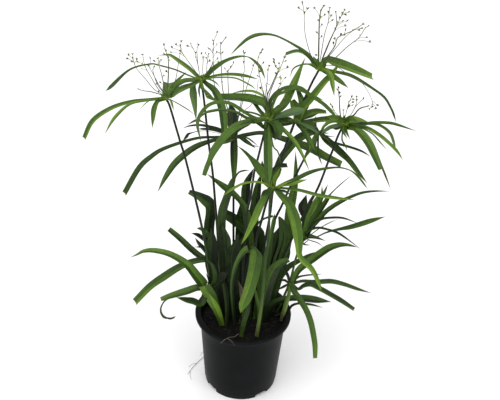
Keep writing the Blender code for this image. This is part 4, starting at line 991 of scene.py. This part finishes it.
def flower_head(name, knot, rng, finishes):
    """Thin rays that fork from the crown's middle, with small spikelets where the picture shows them."""
    plan = FLOWERS[name]
    bead = knot + Vector((0, 0, KNOT_HEIGHT / 2 + BEAD_RADIUS / 2))
    head = Shape()
    tracks = []
    for thickness, reach, points in plan["rays"]:
        own = rng.random()
        places = set_out(bead, reach, points)
        line = smooth([bead, *places], 2.5 * MM)
        slim = [0.5 + 0.5 * ease(step / 6) - 0.45 * step / len(line) for step in range(len(line))]
        add_stalk(
            head,
            line,
            [RAY_RADIUS * thickness * part for part in slim],
            6,
            lambda share, turn, run: (
                0.05 + 0.3 * share, turn, run + own, own, 0.2, ease(1.4 - run / GREEN_RUN)
            ),
        )
        first = len(line) // 5
        for place, after in zip(line[first:-1], line[first + 1 :]):
            spot = project(place)
            tracks.append((spot, (project(after) - spot).normalized(), place))
    for across, down, kind in plan["seeds"]:
        spot = Vector((across, down))
        near = min(tracks, key=lambda track: fork_length(spot - track[0], track[1]))[2]
        place = seen_at(across, down, near.y)
        tone, dry = SEED_KINDS[kind]
        own = rng.random()
        note = (tone, 0, own, own, dry, 0)
        heading = place - near
        if heading.length > 0.8 * MM:
            bow = (place + near) / 2 + Vector((0, 0, heading.length * 0.12))
            stalk = smooth([near, bow, place], 2 * MM, fewest=3)
            radii = [RAY_RADIUS * 0.55] * len(stalk)
            add_stalk(head, stalk, radii, 5, lambda share, turn, run: (0.4, turn, run, own, 0.2, 0))
            add_pod(head, rng, near, heading, 2 * MM, 1.1 * MM, (0.8, 0, own, own, 0.1, 0))
        else:
            heading = Vector((0, 0, 1))
        for pod in range(rng.choice((3, 4, 5))):
            spread = Vector((rng.uniform(-1, 1), rng.uniform(-1, 1), rng.uniform(-0.3, 1))) * 0.8
            lean = (heading.normalized() + spread).normalized()
            size = rng.uniform(2.2, 3.6) * MM
            add_pod(head, rng, place + lean * size * 0.35, lean, size, size * 0.36, note)
    head.make("papyrus_flowers_" + name, finishes["flower"], ["flower_head_" + name])


def turned(profile, steps):
    """A bmesh turned about the upright axis from a closed profile that runs down its outer side."""
    bm = bmesh.new()
    rings = []
    for radius, height in profile:
        if radius == 0:
            rings.append([bm.verts.new((0, 0, height))] * steps)
            continue
        ring = []
        for step in range(steps):
            angle = math.tau * step / steps
            ring.append(bm.verts.new((radius * math.sin(angle), -radius * math.cos(angle), height)))
        rings.append(ring)
    for upper, lower in zip(rings, rings[1:] + rings[:1]):
        for i in range(steps):
            j = (i + 1) % steps
            corners = []
            for corner in (upper[i], lower[i], lower[j], upper[j]):
                if corner not in corners:
                    corners.append(corner)
            if len(corners) > 2:
                bm.faces.new(corners)
    bmesh.ops.recalc_face_normals(bm, faces=bm.faces)
    return bm


def plain_object(name, bm):
    mesh = bpy.data.meshes.new(name)
    bm.to_mesh(mesh)
    bm.free()
    made = bpy.data.objects.new(name, mesh)
    bpy.context.scene.collection.objects.link(made)
    return made


def pot(finish):
    """The nursery pot: a turned body with a rolled lip, a stepped foot and four drain notches."""
    inner = MOUTH_RADIUS - WALL
    profile = [
        (RIM_RADIUS - 1.6 * MM, POT_HEIGHT),
        (RIM_RADIUS - 0.7 * MM, POT_HEIGHT - 0.3 * MM),
        (RIM_RADIUS - 0.2 * MM, POT_HEIGHT - 0.9 * MM),
        (RIM_RADIUS, POT_HEIGHT - 1.8 * MM),
        (RIM_RADIUS - 0.1 * MM, POT_HEIGHT - LIP_HEIGHT + 0.5 * MM),
        (RIM_RADIUS - 0.5 * MM, POT_HEIGHT - LIP_HEIGHT),
        (RIM_RADIUS - WALL, POT_HEIGHT - LIP_HEIGHT),
        (RIM_RADIUS - WALL - 0.2 * MM, POT_HEIGHT - 2.8 * MM),
        (RIM_RADIUS - WALL - 0.8 * MM, POT_HEIGHT - 2.4 * MM),
        (MOUTH_RADIUS + 0.5 * MM, POT_HEIGHT - 3.1 * MM),
        (MOUTH_RADIUS - 0.1 * MM, POT_HEIGHT - 5 * MM),
    ]
    for share in (0.2, 0.4, 0.6, 0.8):
        radius = MOUTH_RADIUS + (FOOT_RADIUS + 0.8 * MM - MOUTH_RADIUS) * share
        profile.append((radius, POT_HEIGHT - 5 * MM + (FOOT_STEP - POT_HEIGHT + 5 * MM) * share))
    profile += [
        (FOOT_RADIUS + 0.8 * MM, FOOT_STEP + 0.3 * MM),
        (FOOT_RADIUS + 0.6 * MM, FOOT_STEP - 0.3 * MM),
        (FOOT_RADIUS, FOOT_STEP - 1 * MM),
        (FOOT_RADIUS - 0.4 * MM, 0.6 * MM),
        (FOOT_RADIUS - 0.8 * MM, 0.1 * MM),
        (FOOT_RADIUS - 1.4 * MM, 0),
        (0, 0),
        (0, 2 * MM),
        (FOOT_RADIUS - WALL - 1 * MM, 2 * MM),
        (inner, POT_HEIGHT - 3 * MM),
        (inner + 0.5 * MM, POT_HEIGHT - 1.4 * MM),
        (MOUTH_RADIUS - 0.6 * MM, POT_HEIGHT - 0.5 * MM),
        (MOUTH_RADIUS + 0.4 * MM, POT_HEIGHT - 0.1 * MM),
        (MOUTH_RADIUS + 2 * MM, POT_HEIGHT),
    ]
    body = plain_object("pot_body", turned(profile, 160))
    cutters = []
    for bearing in NOTCH_BEARINGS:
        bm = bmesh.new()
        bmesh.ops.create_cube(bm, size=1)
        bmesh.ops.scale(bm, vec=(NOTCH[0], 8 * MM, NOTCH[1] * 2), verts=bm.verts)
        upright = [edge for edge in bm.edges if abs((edge.verts[0].co - edge.verts[1].co).y) > MM]
        bmesh.ops.bevel(bm, geom=upright, offset=1.5 * MM, segments=4, affect="EDGES", profile=0.5)
        turn = math.radians(bearing)
        bmesh.ops.rotate(bm, cent=(0, 0, 0), matrix=Matrix.Rotation(turn, 3, "Z"), verts=bm.verts)
        away = Vector((math.sin(turn), -math.cos(turn), 0)) * FOOT_RADIUS
        bmesh.ops.translate(bm, vec=away, verts=bm.verts)
        cutter = plain_object("cutter", bm)
        cut = body.modifiers.new("notch", "BOOLEAN")
        cut.operation = "DIFFERENCE"
        cut.solver = "EXACT"
        cut.object = cutter
        cutters.append(cutter)
    evaluated = body.evaluated_get(bpy.context.evaluated_depsgraph_get())
    mesh = bpy.data.meshes.new_from_object(evaluated)
    for used in (body, *cutters):
        bpy.data.objects.remove(used)
    mesh.shade_smooth()
    mesh.set_sharp_from_angle(angle=math.radians(40))
    mesh.materials.clear()
    mesh.materials.append(finish)
    made = bpy.data.objects.new("nursery_pot", mesh)
    bpy.context.scene.collection.objects.link(made)
    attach(made, "root")
    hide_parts("pot")


def lump(rng, size, squash=0.7):
    """Points and faces of a small uneven clod."""
    bm = bmesh.new()
    bmesh.ops.create_icosphere(bm, subdivisions=1, radius=size)
    turn = Matrix.Rotation(
        rng.uniform(0, math.tau), 3, Vector((rng.random(), rng.random(), rng.random() + 0.1))
    )
    points = []
    for vert in bm.verts:
        point = vert.co * rng.uniform(0.65, 1.2)
        point.z *= squash
        points.append(turn @ point)
    faces = [tuple(vert.index for vert in face.verts) for face in bm.faces]
    bm.free()
    return points, faces


def soil(finish):
    """Potting soil: an uneven top with clods, bits of bark and short fibres, filling the pot to its wall."""
    rng = random.Random("soil")
    slope = (MOUTH_RADIUS - FOOT_RADIUS) / (POT_HEIGHT - FOOT_STEP)
    edge = MOUTH_RADIUS - WALL - slope * (POT_HEIGHT - SOIL_TOP) - 0.6 * MM
    sides = 96
    bumps = [
        (
            rng.uniform(-edge, edge), rng.uniform(-edge, edge),
            rng.uniform(2, 7) * MM, rng.uniform(-0.7, 1.1) * MM,
        )
        for _ in range(170)
    ]

    def top(x, y):
        height = SOIL_TOP
        for bump_x, bump_y, size, rise in bumps:
            off = ((x - bump_x) ** 2 + (y - bump_y) ** 2) / size**2
            if off < 6:
                height += rise * math.exp(-off)
        return height

    ground = Shape()
    rings = []
    depths = [
        (0.01 * MM, 20 * MM), (FOOT_RADIUS - 4 * MM, 20 * MM),
        (edge - 2 * MM, SOIL_TOP - 20 * MM), (edge, SOIL_TOP - 2 * MM),
    ]
    for radius, height in depths:
        rings.append([
            Vector((radius * math.cos(math.tau * i / sides), radius * math.sin(math.tau * i / sides), height))
            for i in range(sides)
        ])
    for step in range(34):
        radius = max(edge * (1 - step / 33), 0.02 * MM)
        ring = []
        for i in range(sides):
            angle = math.tau * i / sides
            x, y = radius * math.cos(angle), radius * math.sin(angle)
            ring.append(Vector((x, y, top(x, y))))
        rings.append(ring)
    ground.skin(rings, [[(0.3, 0, 0, 0.5, 0, 0)] * sides] * len(rings))
    for _ in range(900):
        size = rng.choice((0.5, 0.7, 0.9, 1.2, 1.8)) * MM * rng.uniform(0.8, 1.2)
        radius = math.sqrt(rng.random()) * (edge - size)
        angle = rng.uniform(0, math.tau)
        x, y = radius * math.cos(angle), radius * math.sin(angle)
        place = Vector((x, y, top(x, y) + size * 0.2))
        points, faces = lump(rng, size)
        own = rng.random()
        note = (rng.uniform(0, 1), 0, own, own, 0, 0)
        ground.add([point + place for point in points], faces, [note] * len(points))
    for _ in range(90):
        radius = math.sqrt(rng.random()) * (edge - 4 * MM)
        angle = rng.uniform(0, math.tau)
        turn = rng.uniform(0, math.tau)
        middle = Vector((radius * math.cos(angle), radius * math.sin(angle), 0))
        step = Vector((math.cos(turn), math.sin(turn), 0)) * rng.uniform(1.5, 5) * MM
        bow = Vector((-step.y, step.x, 0)) * rng.uniform(-0.4, 0.4)
        places = [middle - step, middle + bow, middle + step]
        places = [Vector((p.x, p.y, top(p.x, p.y) + 0.3 * MM)) for p in places]
        line = smooth(places, 1.5 * MM)
        own = rng.random()
        note = (rng.uniform(0.5, 1), 0, own, own, 0.6, 0)
        add_stalk(ground, line, [rng.uniform(0.12, 0.3) * MM] * len(line), 5, lambda share, turn, run: note)
    ground.make("loose_potting_soil", finish, ["soil"])


# Side fibres of the roots: which root, then places as (degrees round from the front, radius, height).
ROOT_FIBRES = {
    "root_from_drain": [
        [(-131, 56, 1.3), (-126, 62, 0.8), (-122, 64, 0.7), (-118, 61, 0.8)],
        [(-104, 60, 1.3), (-101, 66, 0.9), (-96, 69, 0.7)],
        [(-90, 66, 1.3), (-83, 66, 0.8), (-77, 65, 0.6)],
    ],
    "root_over_rim": [
        [(-18, 56, 111.4), (-14, 58, 111.6), (-10, 60.2, 110.4), (-8, 60.8, 107)],
    ],
}


def root(name, path, finish):
    """A thin pale root with finer side roots."""
    rng = random.Random("root " + name)
    shape = Shape()
    for index, places in enumerate([path, *ROOT_FIBRES[name]]):
        values = []
        for bearing, radius, height in places:
            turn = math.radians(bearing)
            values.append(Vector((math.sin(turn) * radius, -math.cos(turn) * radius, height)) * MM)
        line = smooth(values, 1.2 * MM)
        thick = 0.4 if index == 0 else 0.2
        taper = [
            thick * MM * (1 - 0.45 * step / len(line)) * rng.uniform(0.88, 1.1) for step in range(len(line))
        ]
        own = rng.random()
        add_stalk(shape, line, taper, 8, lambda share, turn, run: (0.5, turn, run + own, own, share, 0))
    shape.make(name.replace("root", "pale_root"), finish, [name])


# Materials


def colour(red, green, blue):
    """A colour given as it looks on a screen, from 0 to 255."""
    parts = [part / 255 for part in (red, green, blue)]
    parts = [part / 12.92 if part <= 0.04045 else ((part + 0.055) / 1.055) ** 2.4 for part in parts]
    return (*parts, 1)


class Field:
    """A value that varies over a surface. Sums written with it become the material's own maths."""

    def __init__(self, finish, socket):
        self.finish = finish
        self.socket = socket

    def maths(self, operation, *others, turned=False, clamp=False):
        given = [self, *others]
        if turned:
            given.reverse()
        return self.finish.add("Math", dict(enumerate(given)), operation=operation, use_clamp=clamp)

    def __add__(self, other):
        return self.maths("ADD", other)

    def __sub__(self, other):
        return self.maths("SUBTRACT", other)

    def __rsub__(self, other):
        return self.maths("SUBTRACT", other, turned=True)

    def __mul__(self, other):
        return self.maths("MULTIPLY", other)

    def __truediv__(self, other):
        return self.maths("DIVIDE", other)

    def __abs__(self):
        return self.maths("ABSOLUTE")

    __radd__ = __add__
    __rmul__ = __mul__

    def within(self):
        """The value kept between 0 and 1."""
        return self.maths("ADD", 0, clamp=True)

    def wave(self):
        return self.maths("SINE")


class Finish:
    """A material in the making."""

    def __init__(self, name, **constants):
        self.material = bpy.data.materials.new(name)
        self.material.use_nodes = True
        self.tree = self.material.node_tree
        self.shader = self.tree.nodes["Principled BSDF"]
        for socket, value in constants.items():
            self.shader.inputs[socket.replace("_", " ")].default_value = value

    def add(self, kind, inputs=None, out=0, **settings):
        """Puts in a node: its settings first, then its inputs. It gives the node's chosen output."""
        node = self.tree.nodes.new("ShaderNode" + kind)
        for name, value in settings.items():
            setattr(node, name, value)
        for name, value in (inputs or {}).items():
            self.feed(node.inputs[name], value)
        return Field(self, node.outputs[out])

    def feed(self, socket, value):
        if isinstance(value, Field):
            self.tree.links.new(value.socket, socket)
        else:
            socket.default_value = value

    def read(self, field):
        """One of the values that the piece's points carry."""
        return self.add("Attribute", out="Fac", attribute_name=field, attribute_type="GEOMETRY")

    def vector(self, x, y, z=0.0):
        return self.add("CombineXYZ", {0: x, 1: y, 2: z})

    def noise(self, where, scale, detail=3.0, roughness=0.5):
        return self.add(
            "TexNoise", {"Vector": where, "Scale": scale, "Detail": detail, "Roughness": roughness}
        )

    def place(self):
        return self.add("TexCoord", out="Object")

    def blend(self, first, second, share):
        """The first colour where share is 0, the second where it is 1."""
        return self.add("Mix", {0: share, 6: first, 7: second}, out=2, data_type="RGBA")

    def bands(self, share, stops):
        """A colour picked by share from stops of (share, colour)."""
        made = self.add("ValToRGB", {0: share})
        ramp = made.socket.node.color_ramp
        while len(ramp.elements) < len(stops):
            ramp.elements.new(0.5)
        for element, (position, shade) in zip(ramp.elements, stops):
            element.position = position
            element.color = shade
        return made

    def done(self, base, roughness, height=None, depth=0.0002, strength=0.5):
        """Ends the material with its colour, roughness and fine relief."""
        self.feed(self.shader.inputs["Base Color"], base)
        self.feed(self.shader.inputs["Roughness"], roughness)
        if height is not None:
            relief = self.add("Bump", {"Height": height, "Distance": depth, "Strength": strength})
            self.feed(self.shader.inputs["Normal"], relief)
        return self.material


# Leaf and stem greens, from painted deep shade at 0 to painted full light at 1.
SHADE_TO_LIGHT_GREENS = [
    (0.0, colour(17, 25, 11)),
    (0.1, colour(27, 40, 16)),
    (0.2, colour(39, 58, 20)),
    (0.35, colour(48, 72, 24)),
    (0.5, colour(60, 87, 28)),
    (0.7, colour(72, 101, 31)),
    (1.0, colour(106, 136, 44)),
]


def leaf_finish():
    """Papyrus leaf: painted shade and light by its tone, a painted lit half and shaded half across the fold,
    painted grey-blue sheen where marked, fine veins along it, a paler midrib, soft mottling, pale feet and dry
    brown tips.
    """
    leaf = Finish("papyrus_leaf", Specular_IOR_Level=0.2)
    tone = leaf.read("tone")
    across = leaf.read("across")
    run = leaf.read("run")
    own = leaf.read("own")
    dry = leaf.read("dry")
    foot = leaf.read("foot")
    sheen_share = leaf.read("sheen_share")
    streaks = leaf.noise(leaf.vector(across * 9 + own * 57, run * 22, own * 13), 1.0, detail=3)
    mottle = leaf.noise(
        leaf.vector(across * 1.2 + own * 31, run * 140, own * 7), 1.0, detail=4, roughness=0.6
    )
    flecks = leaf.noise(leaf.vector(across * 6 + own * 11, run * 900, own * 3), 1.0, detail=2)
    middle = (1 - abs(across) / 0.11).within()
    # Painted light on one half of the folded blade and painted shade on the other.
    half = ((across * 8 + 0.5).within() - 0.5) * (own * 40).wave() * 0.32
    brightness = tone + half + (mottle - 0.5) * 0.45 + (streaks - 0.5) * 0.5 + (own - 0.5) * 0.16
    green = leaf.bands((brightness + middle * 0.16 + foot * tone * 0.25).within(), SHADE_TO_LIGHT_GREENS)
    # Painted grey-blue sheen, a painted reflection of the pale room, on leaves so marked.
    frosted = leaf.blend(green, colour(98, 120, 92), (sheen_share * (0.6 + streaks * 0.6)).within())
    yellowed = leaf.blend(frosted, colour(112, 126, 44), (foot * tone * 0.6).within())
    flecked = leaf.blend(yellowed, colour(138, 132, 72), ((flecks - 0.73) * 6).within() * 0.5)
    brown = leaf.bands(mottle, [(0.3, colour(66, 56, 46)), (0.7, colour(122, 108, 90))])
    base = leaf.blend(flecked, brown, (dry * (0.6 + streaks) - 0.1).within())
    veins = (across * 34 + 0.5).wave() * (1 - middle)
    height = veins * 0.3 + streaks * 0.5 - middle * 1.2
    return leaf.done(base, 0.44 + mottle * 0.14 + dry * 0.25, height, depth=0.00025, strength=0.45)


def stem_finish():
    """Smooth green stem, finely grooved along its length, with a dry brown sheath at its foot."""
    stem = Finish("papyrus_stem", Specular_IOR_Level=0.2)
    tone = stem.read("tone")
    turn = stem.read("across")
    run = stem.read("run")
    own = stem.read("own")
    dry = stem.read("dry")
    pale = stem.read("foot")
    angle = turn * math.tau
    around = stem.vector(angle.wave() * 2.2, (angle + 1.5708).wave() * 2.2, run * 14)
    streaks = stem.noise(around, 1.6, detail=3)
    blotches = stem.noise(stem.vector(own * 20, run * 90), 1.0, detail=3)
    # The stem's green carries painted shade and light by its tone, over fine streaks and blotches.
    green = stem.bands((tone + (streaks - 0.5) * 0.3 + (blotches - 0.5) * 0.25).within(), SHADE_TO_LIGHT_GREENS)
    pallid = stem.bands(streaks, [(0.3, colour(98, 112, 60)), (0.7, colour(146, 158, 98))])
    brown = stem.bands(streaks, [(0.3, colour(62, 50, 38)), (0.7, colour(128, 108, 84))])
    fresh = stem.blend(green, pallid, pale)
    base = stem.blend(fresh, brown, (dry * (0.35 + blotches * 1.1)).within())
    grooves = (turn * math.tau * 14).wave()
    return stem.done(base, 0.42 + blotches * 0.2, grooves * 0.4 + streaks, depth=0.0002, strength=0.4)


def flower_finish():
    """Thin green-brown rays with straw, green and brown spikelets."""
    flower = Finish("papyrus_flower", Specular_IOR_Level=0.25)
    tone = flower.read("tone")
    own = flower.read("own")
    dry = flower.read("dry")
    run = flower.read("run")
    grain = flower.noise(flower.place(), 900.0, detail=3)
    streaks = flower.noise(flower.vector(own * 9, run * 300), 1.0)
    share = (tone + (grain - 0.5) * 0.4 + (streaks - 0.5) * 0.2).within()
    fresh = flower.bands(
        share, [(0.0, colour(46, 50, 42)), (0.5, colour(96, 106, 70)), (1.0, colour(160, 176, 82))]
    )
    ripe = flower.bands(
        share, [(0.0, colour(44, 40, 34)), (0.5, colour(98, 90, 70)), (1.0, colour(158, 150, 108))]
    )
    base = flower.blend(flower.blend(fresh, ripe, dry), colour(74, 98, 34), flower.read("foot"))
    return flower.done(base, 0.6 + grain * 0.2, grain, depth=0.0002, strength=0.5)


def pot_finish():
    """Thin black moulded plastic with a satin skin, faint flow marks and a little soil dust."""
    pot_side = Finish("black_pot_plastic", Specular_IOR_Level=0.04)
    place = pot_side.place()
    parts = pot_side.tree.nodes.new("ShaderNodeSeparateXYZ")
    pot_side.tree.links.new(place.socket, parts.inputs[0])
    height = Field(pot_side, parts.outputs[2])
    grain = pot_side.noise(place, 1400.0, detail=2)
    drift = pot_side.noise(place, 38.0, detail=3)
    dust = pot_side.noise(place, 190.0, detail=5, roughness=0.65)
    low = (1 - height / 0.03).within()
    high = ((height - 0.1) / 0.01).within()
    dusty = ((dust - 0.52) * 4).within() * (0.05 + low * 0.12 + high * 0.16)
    plastic = pot_side.bands(drift, [(0.35, colour(15, 17, 17)), (0.65, colour(19, 21, 22))])
    base = pot_side.blend(plastic, colour(66, 58, 50), dusty)
    return pot_side.done(
        base, 0.36 + drift * 0.1 + dusty * 0.5, grain + drift * 2, depth=0.00012, strength=0.3
    )


def soil_finish():
    """Dark moist potting soil with paler bark crumbs."""
    ground = Finish("potting_soil", Specular_IOR_Level=0.2)
    tone = ground.read("tone")
    dry = ground.read("dry")
    place = ground.place()
    coarse = ground.noise(place, 220.0, detail=5, roughness=0.65)
    fine = ground.noise(place, 1500.0, detail=3)
    share = (tone * 0.5 + coarse * 0.6 + (fine - 0.5) * 0.5).within()
    earth = ground.bands(share, [(0.2, colour(5, 5, 5)), (0.6, colour(13, 11, 9)), (1.0, colour(34, 29, 24))])
    base = ground.blend(earth, colour(112, 98, 78), (dry * 0.5).within())
    return ground.done(base, 0.8 + fine * 0.15, coarse + fine * 0.5, depth=0.0008, strength=0.8)


def root_finish():
    """Pale fibrous root, browner towards its tip."""
    pale = Finish("pale_root", Specular_IOR_Level=0.2)
    run = pale.read("run")
    turn = pale.read("across")
    tip = pale.read("dry")
    streaks = pale.noise(pale.vector(turn * 8, run * 120), 1.0, detail=4)
    base = pale.bands(
        (streaks * 0.8 + 0.3 - tip * 0.3).within(),
        [(0.1, colour(62, 54, 44)), (0.5, colour(116, 106, 90)), (0.9, colour(170, 160, 142))],
    )
    return pale.done(base, 0.75 + streaks * 0.15, streaks, depth=0.0003, strength=0.6)


# The room


def studio():
    """A plain white floor, soft lamps and the eye."""
    scene = bpy.context.scene
    ahead, up = view_axes()
    right = Vector((1, 0, 0))
    rolled_right = right * math.cos(ROLL) + up * math.sin(ROLL)
    rolled_up = up * math.cos(ROLL) - right * math.sin(ROLL)
    lens = bpy.data.cameras.new("eye")
    lens.sensor_fit = "HORIZONTAL"
    lens.sensor_width = FILM
    lens.lens = FILM * FOCAL / PICTURE[0]
    lens.clip_start = 0.05
    eye = bpy.data.objects.new("eye", lens)
    turn = Matrix((rolled_right, rolled_up, -ahead)).transposed()
    eye.matrix_world = Matrix.Translation(EYE) @ turn.to_4x4()
    scene.collection.objects.link(eye)
    scene.camera = eye
    scene.view_settings.view_transform = "Standard"

    bm = bmesh.new()
    bmesh.ops.create_grid(bm, x_segments=4, y_segments=4, size=6)
    floor = plain_object("floor", bm)
    white = Finish("white_floor", Specular_IOR_Level=0.0)
    speck = white.noise(white.place(), 3.0)
    floor.data.materials.append(
        white.done(white.blend(colour(250, 250, 250), colour(252, 252, 252), speck), 0.9)
    )

    world = bpy.data.worlds.new("studio")
    scene.world = world
    world.use_nodes = True
    back = world.node_tree.nodes["Background"]
    back.inputs["Color"].default_value = (1, 1, 1, 1)
    back.inputs["Strength"].default_value = 0.72

    for name, place, size, power in (
        ("key", (-0.7, -1.1, 2.6), 2.6, 50),
        ("fill", (1.6, -1.4, 1.5), 1.6, 10),
        ("rim", (0.3, 1.7, 2.1), 1.6, 9),
    ):
        lamp = bpy.data.lights.new(name, "AREA")
        lamp.size = size
        lamp.energy = power
        stand = bpy.data.objects.new(name, lamp)
        stand.location = place
        aim = Vector((0, 0, 0.25)) - stand.location
        stand.rotation_euler = aim.to_track_quat("-Z", "Y").to_euler()
        scene.collection.objects.link(stand)


def main():
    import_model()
    studio()
    finishes = {"leaf": leaf_finish(), "stem": stem_finish(), "flower": flower_finish()}
    pot(pot_finish())
    soil(soil_finish())
    for name, plan in CROWNS.items():
        crown(name, plan, finishes)
    for name, (tone, across, down, reach, points) in SOIL_LEAVES.items():
        blade = Shape()
        foot = seen_on(across, down, SOIL_TOP + FOOT_LIFT)
        add_blade(blade, random.Random("soil " + name), tone, foot, reach, points, from_soil=True)
        blade.make("papyrus_blade_" + name, finishes["leaf"], ["soil_leaf_" + name])
    inner = Shape()
    rng = random.Random("inner blades")
    for tone, across, down, reach, points in INNER_LEAVES:
        foot = seen_on(across, down, SOIL_TOP + FOOT_LIFT)
        add_blade(inner, rng, tone, foot, reach, points, from_soil=True)
    inner.make("papyrus_inner_blades", finishes["leaf"])
    pale = root_finish()
    for name, path in ROOTS.items():
        root(name, path, pale)


main()
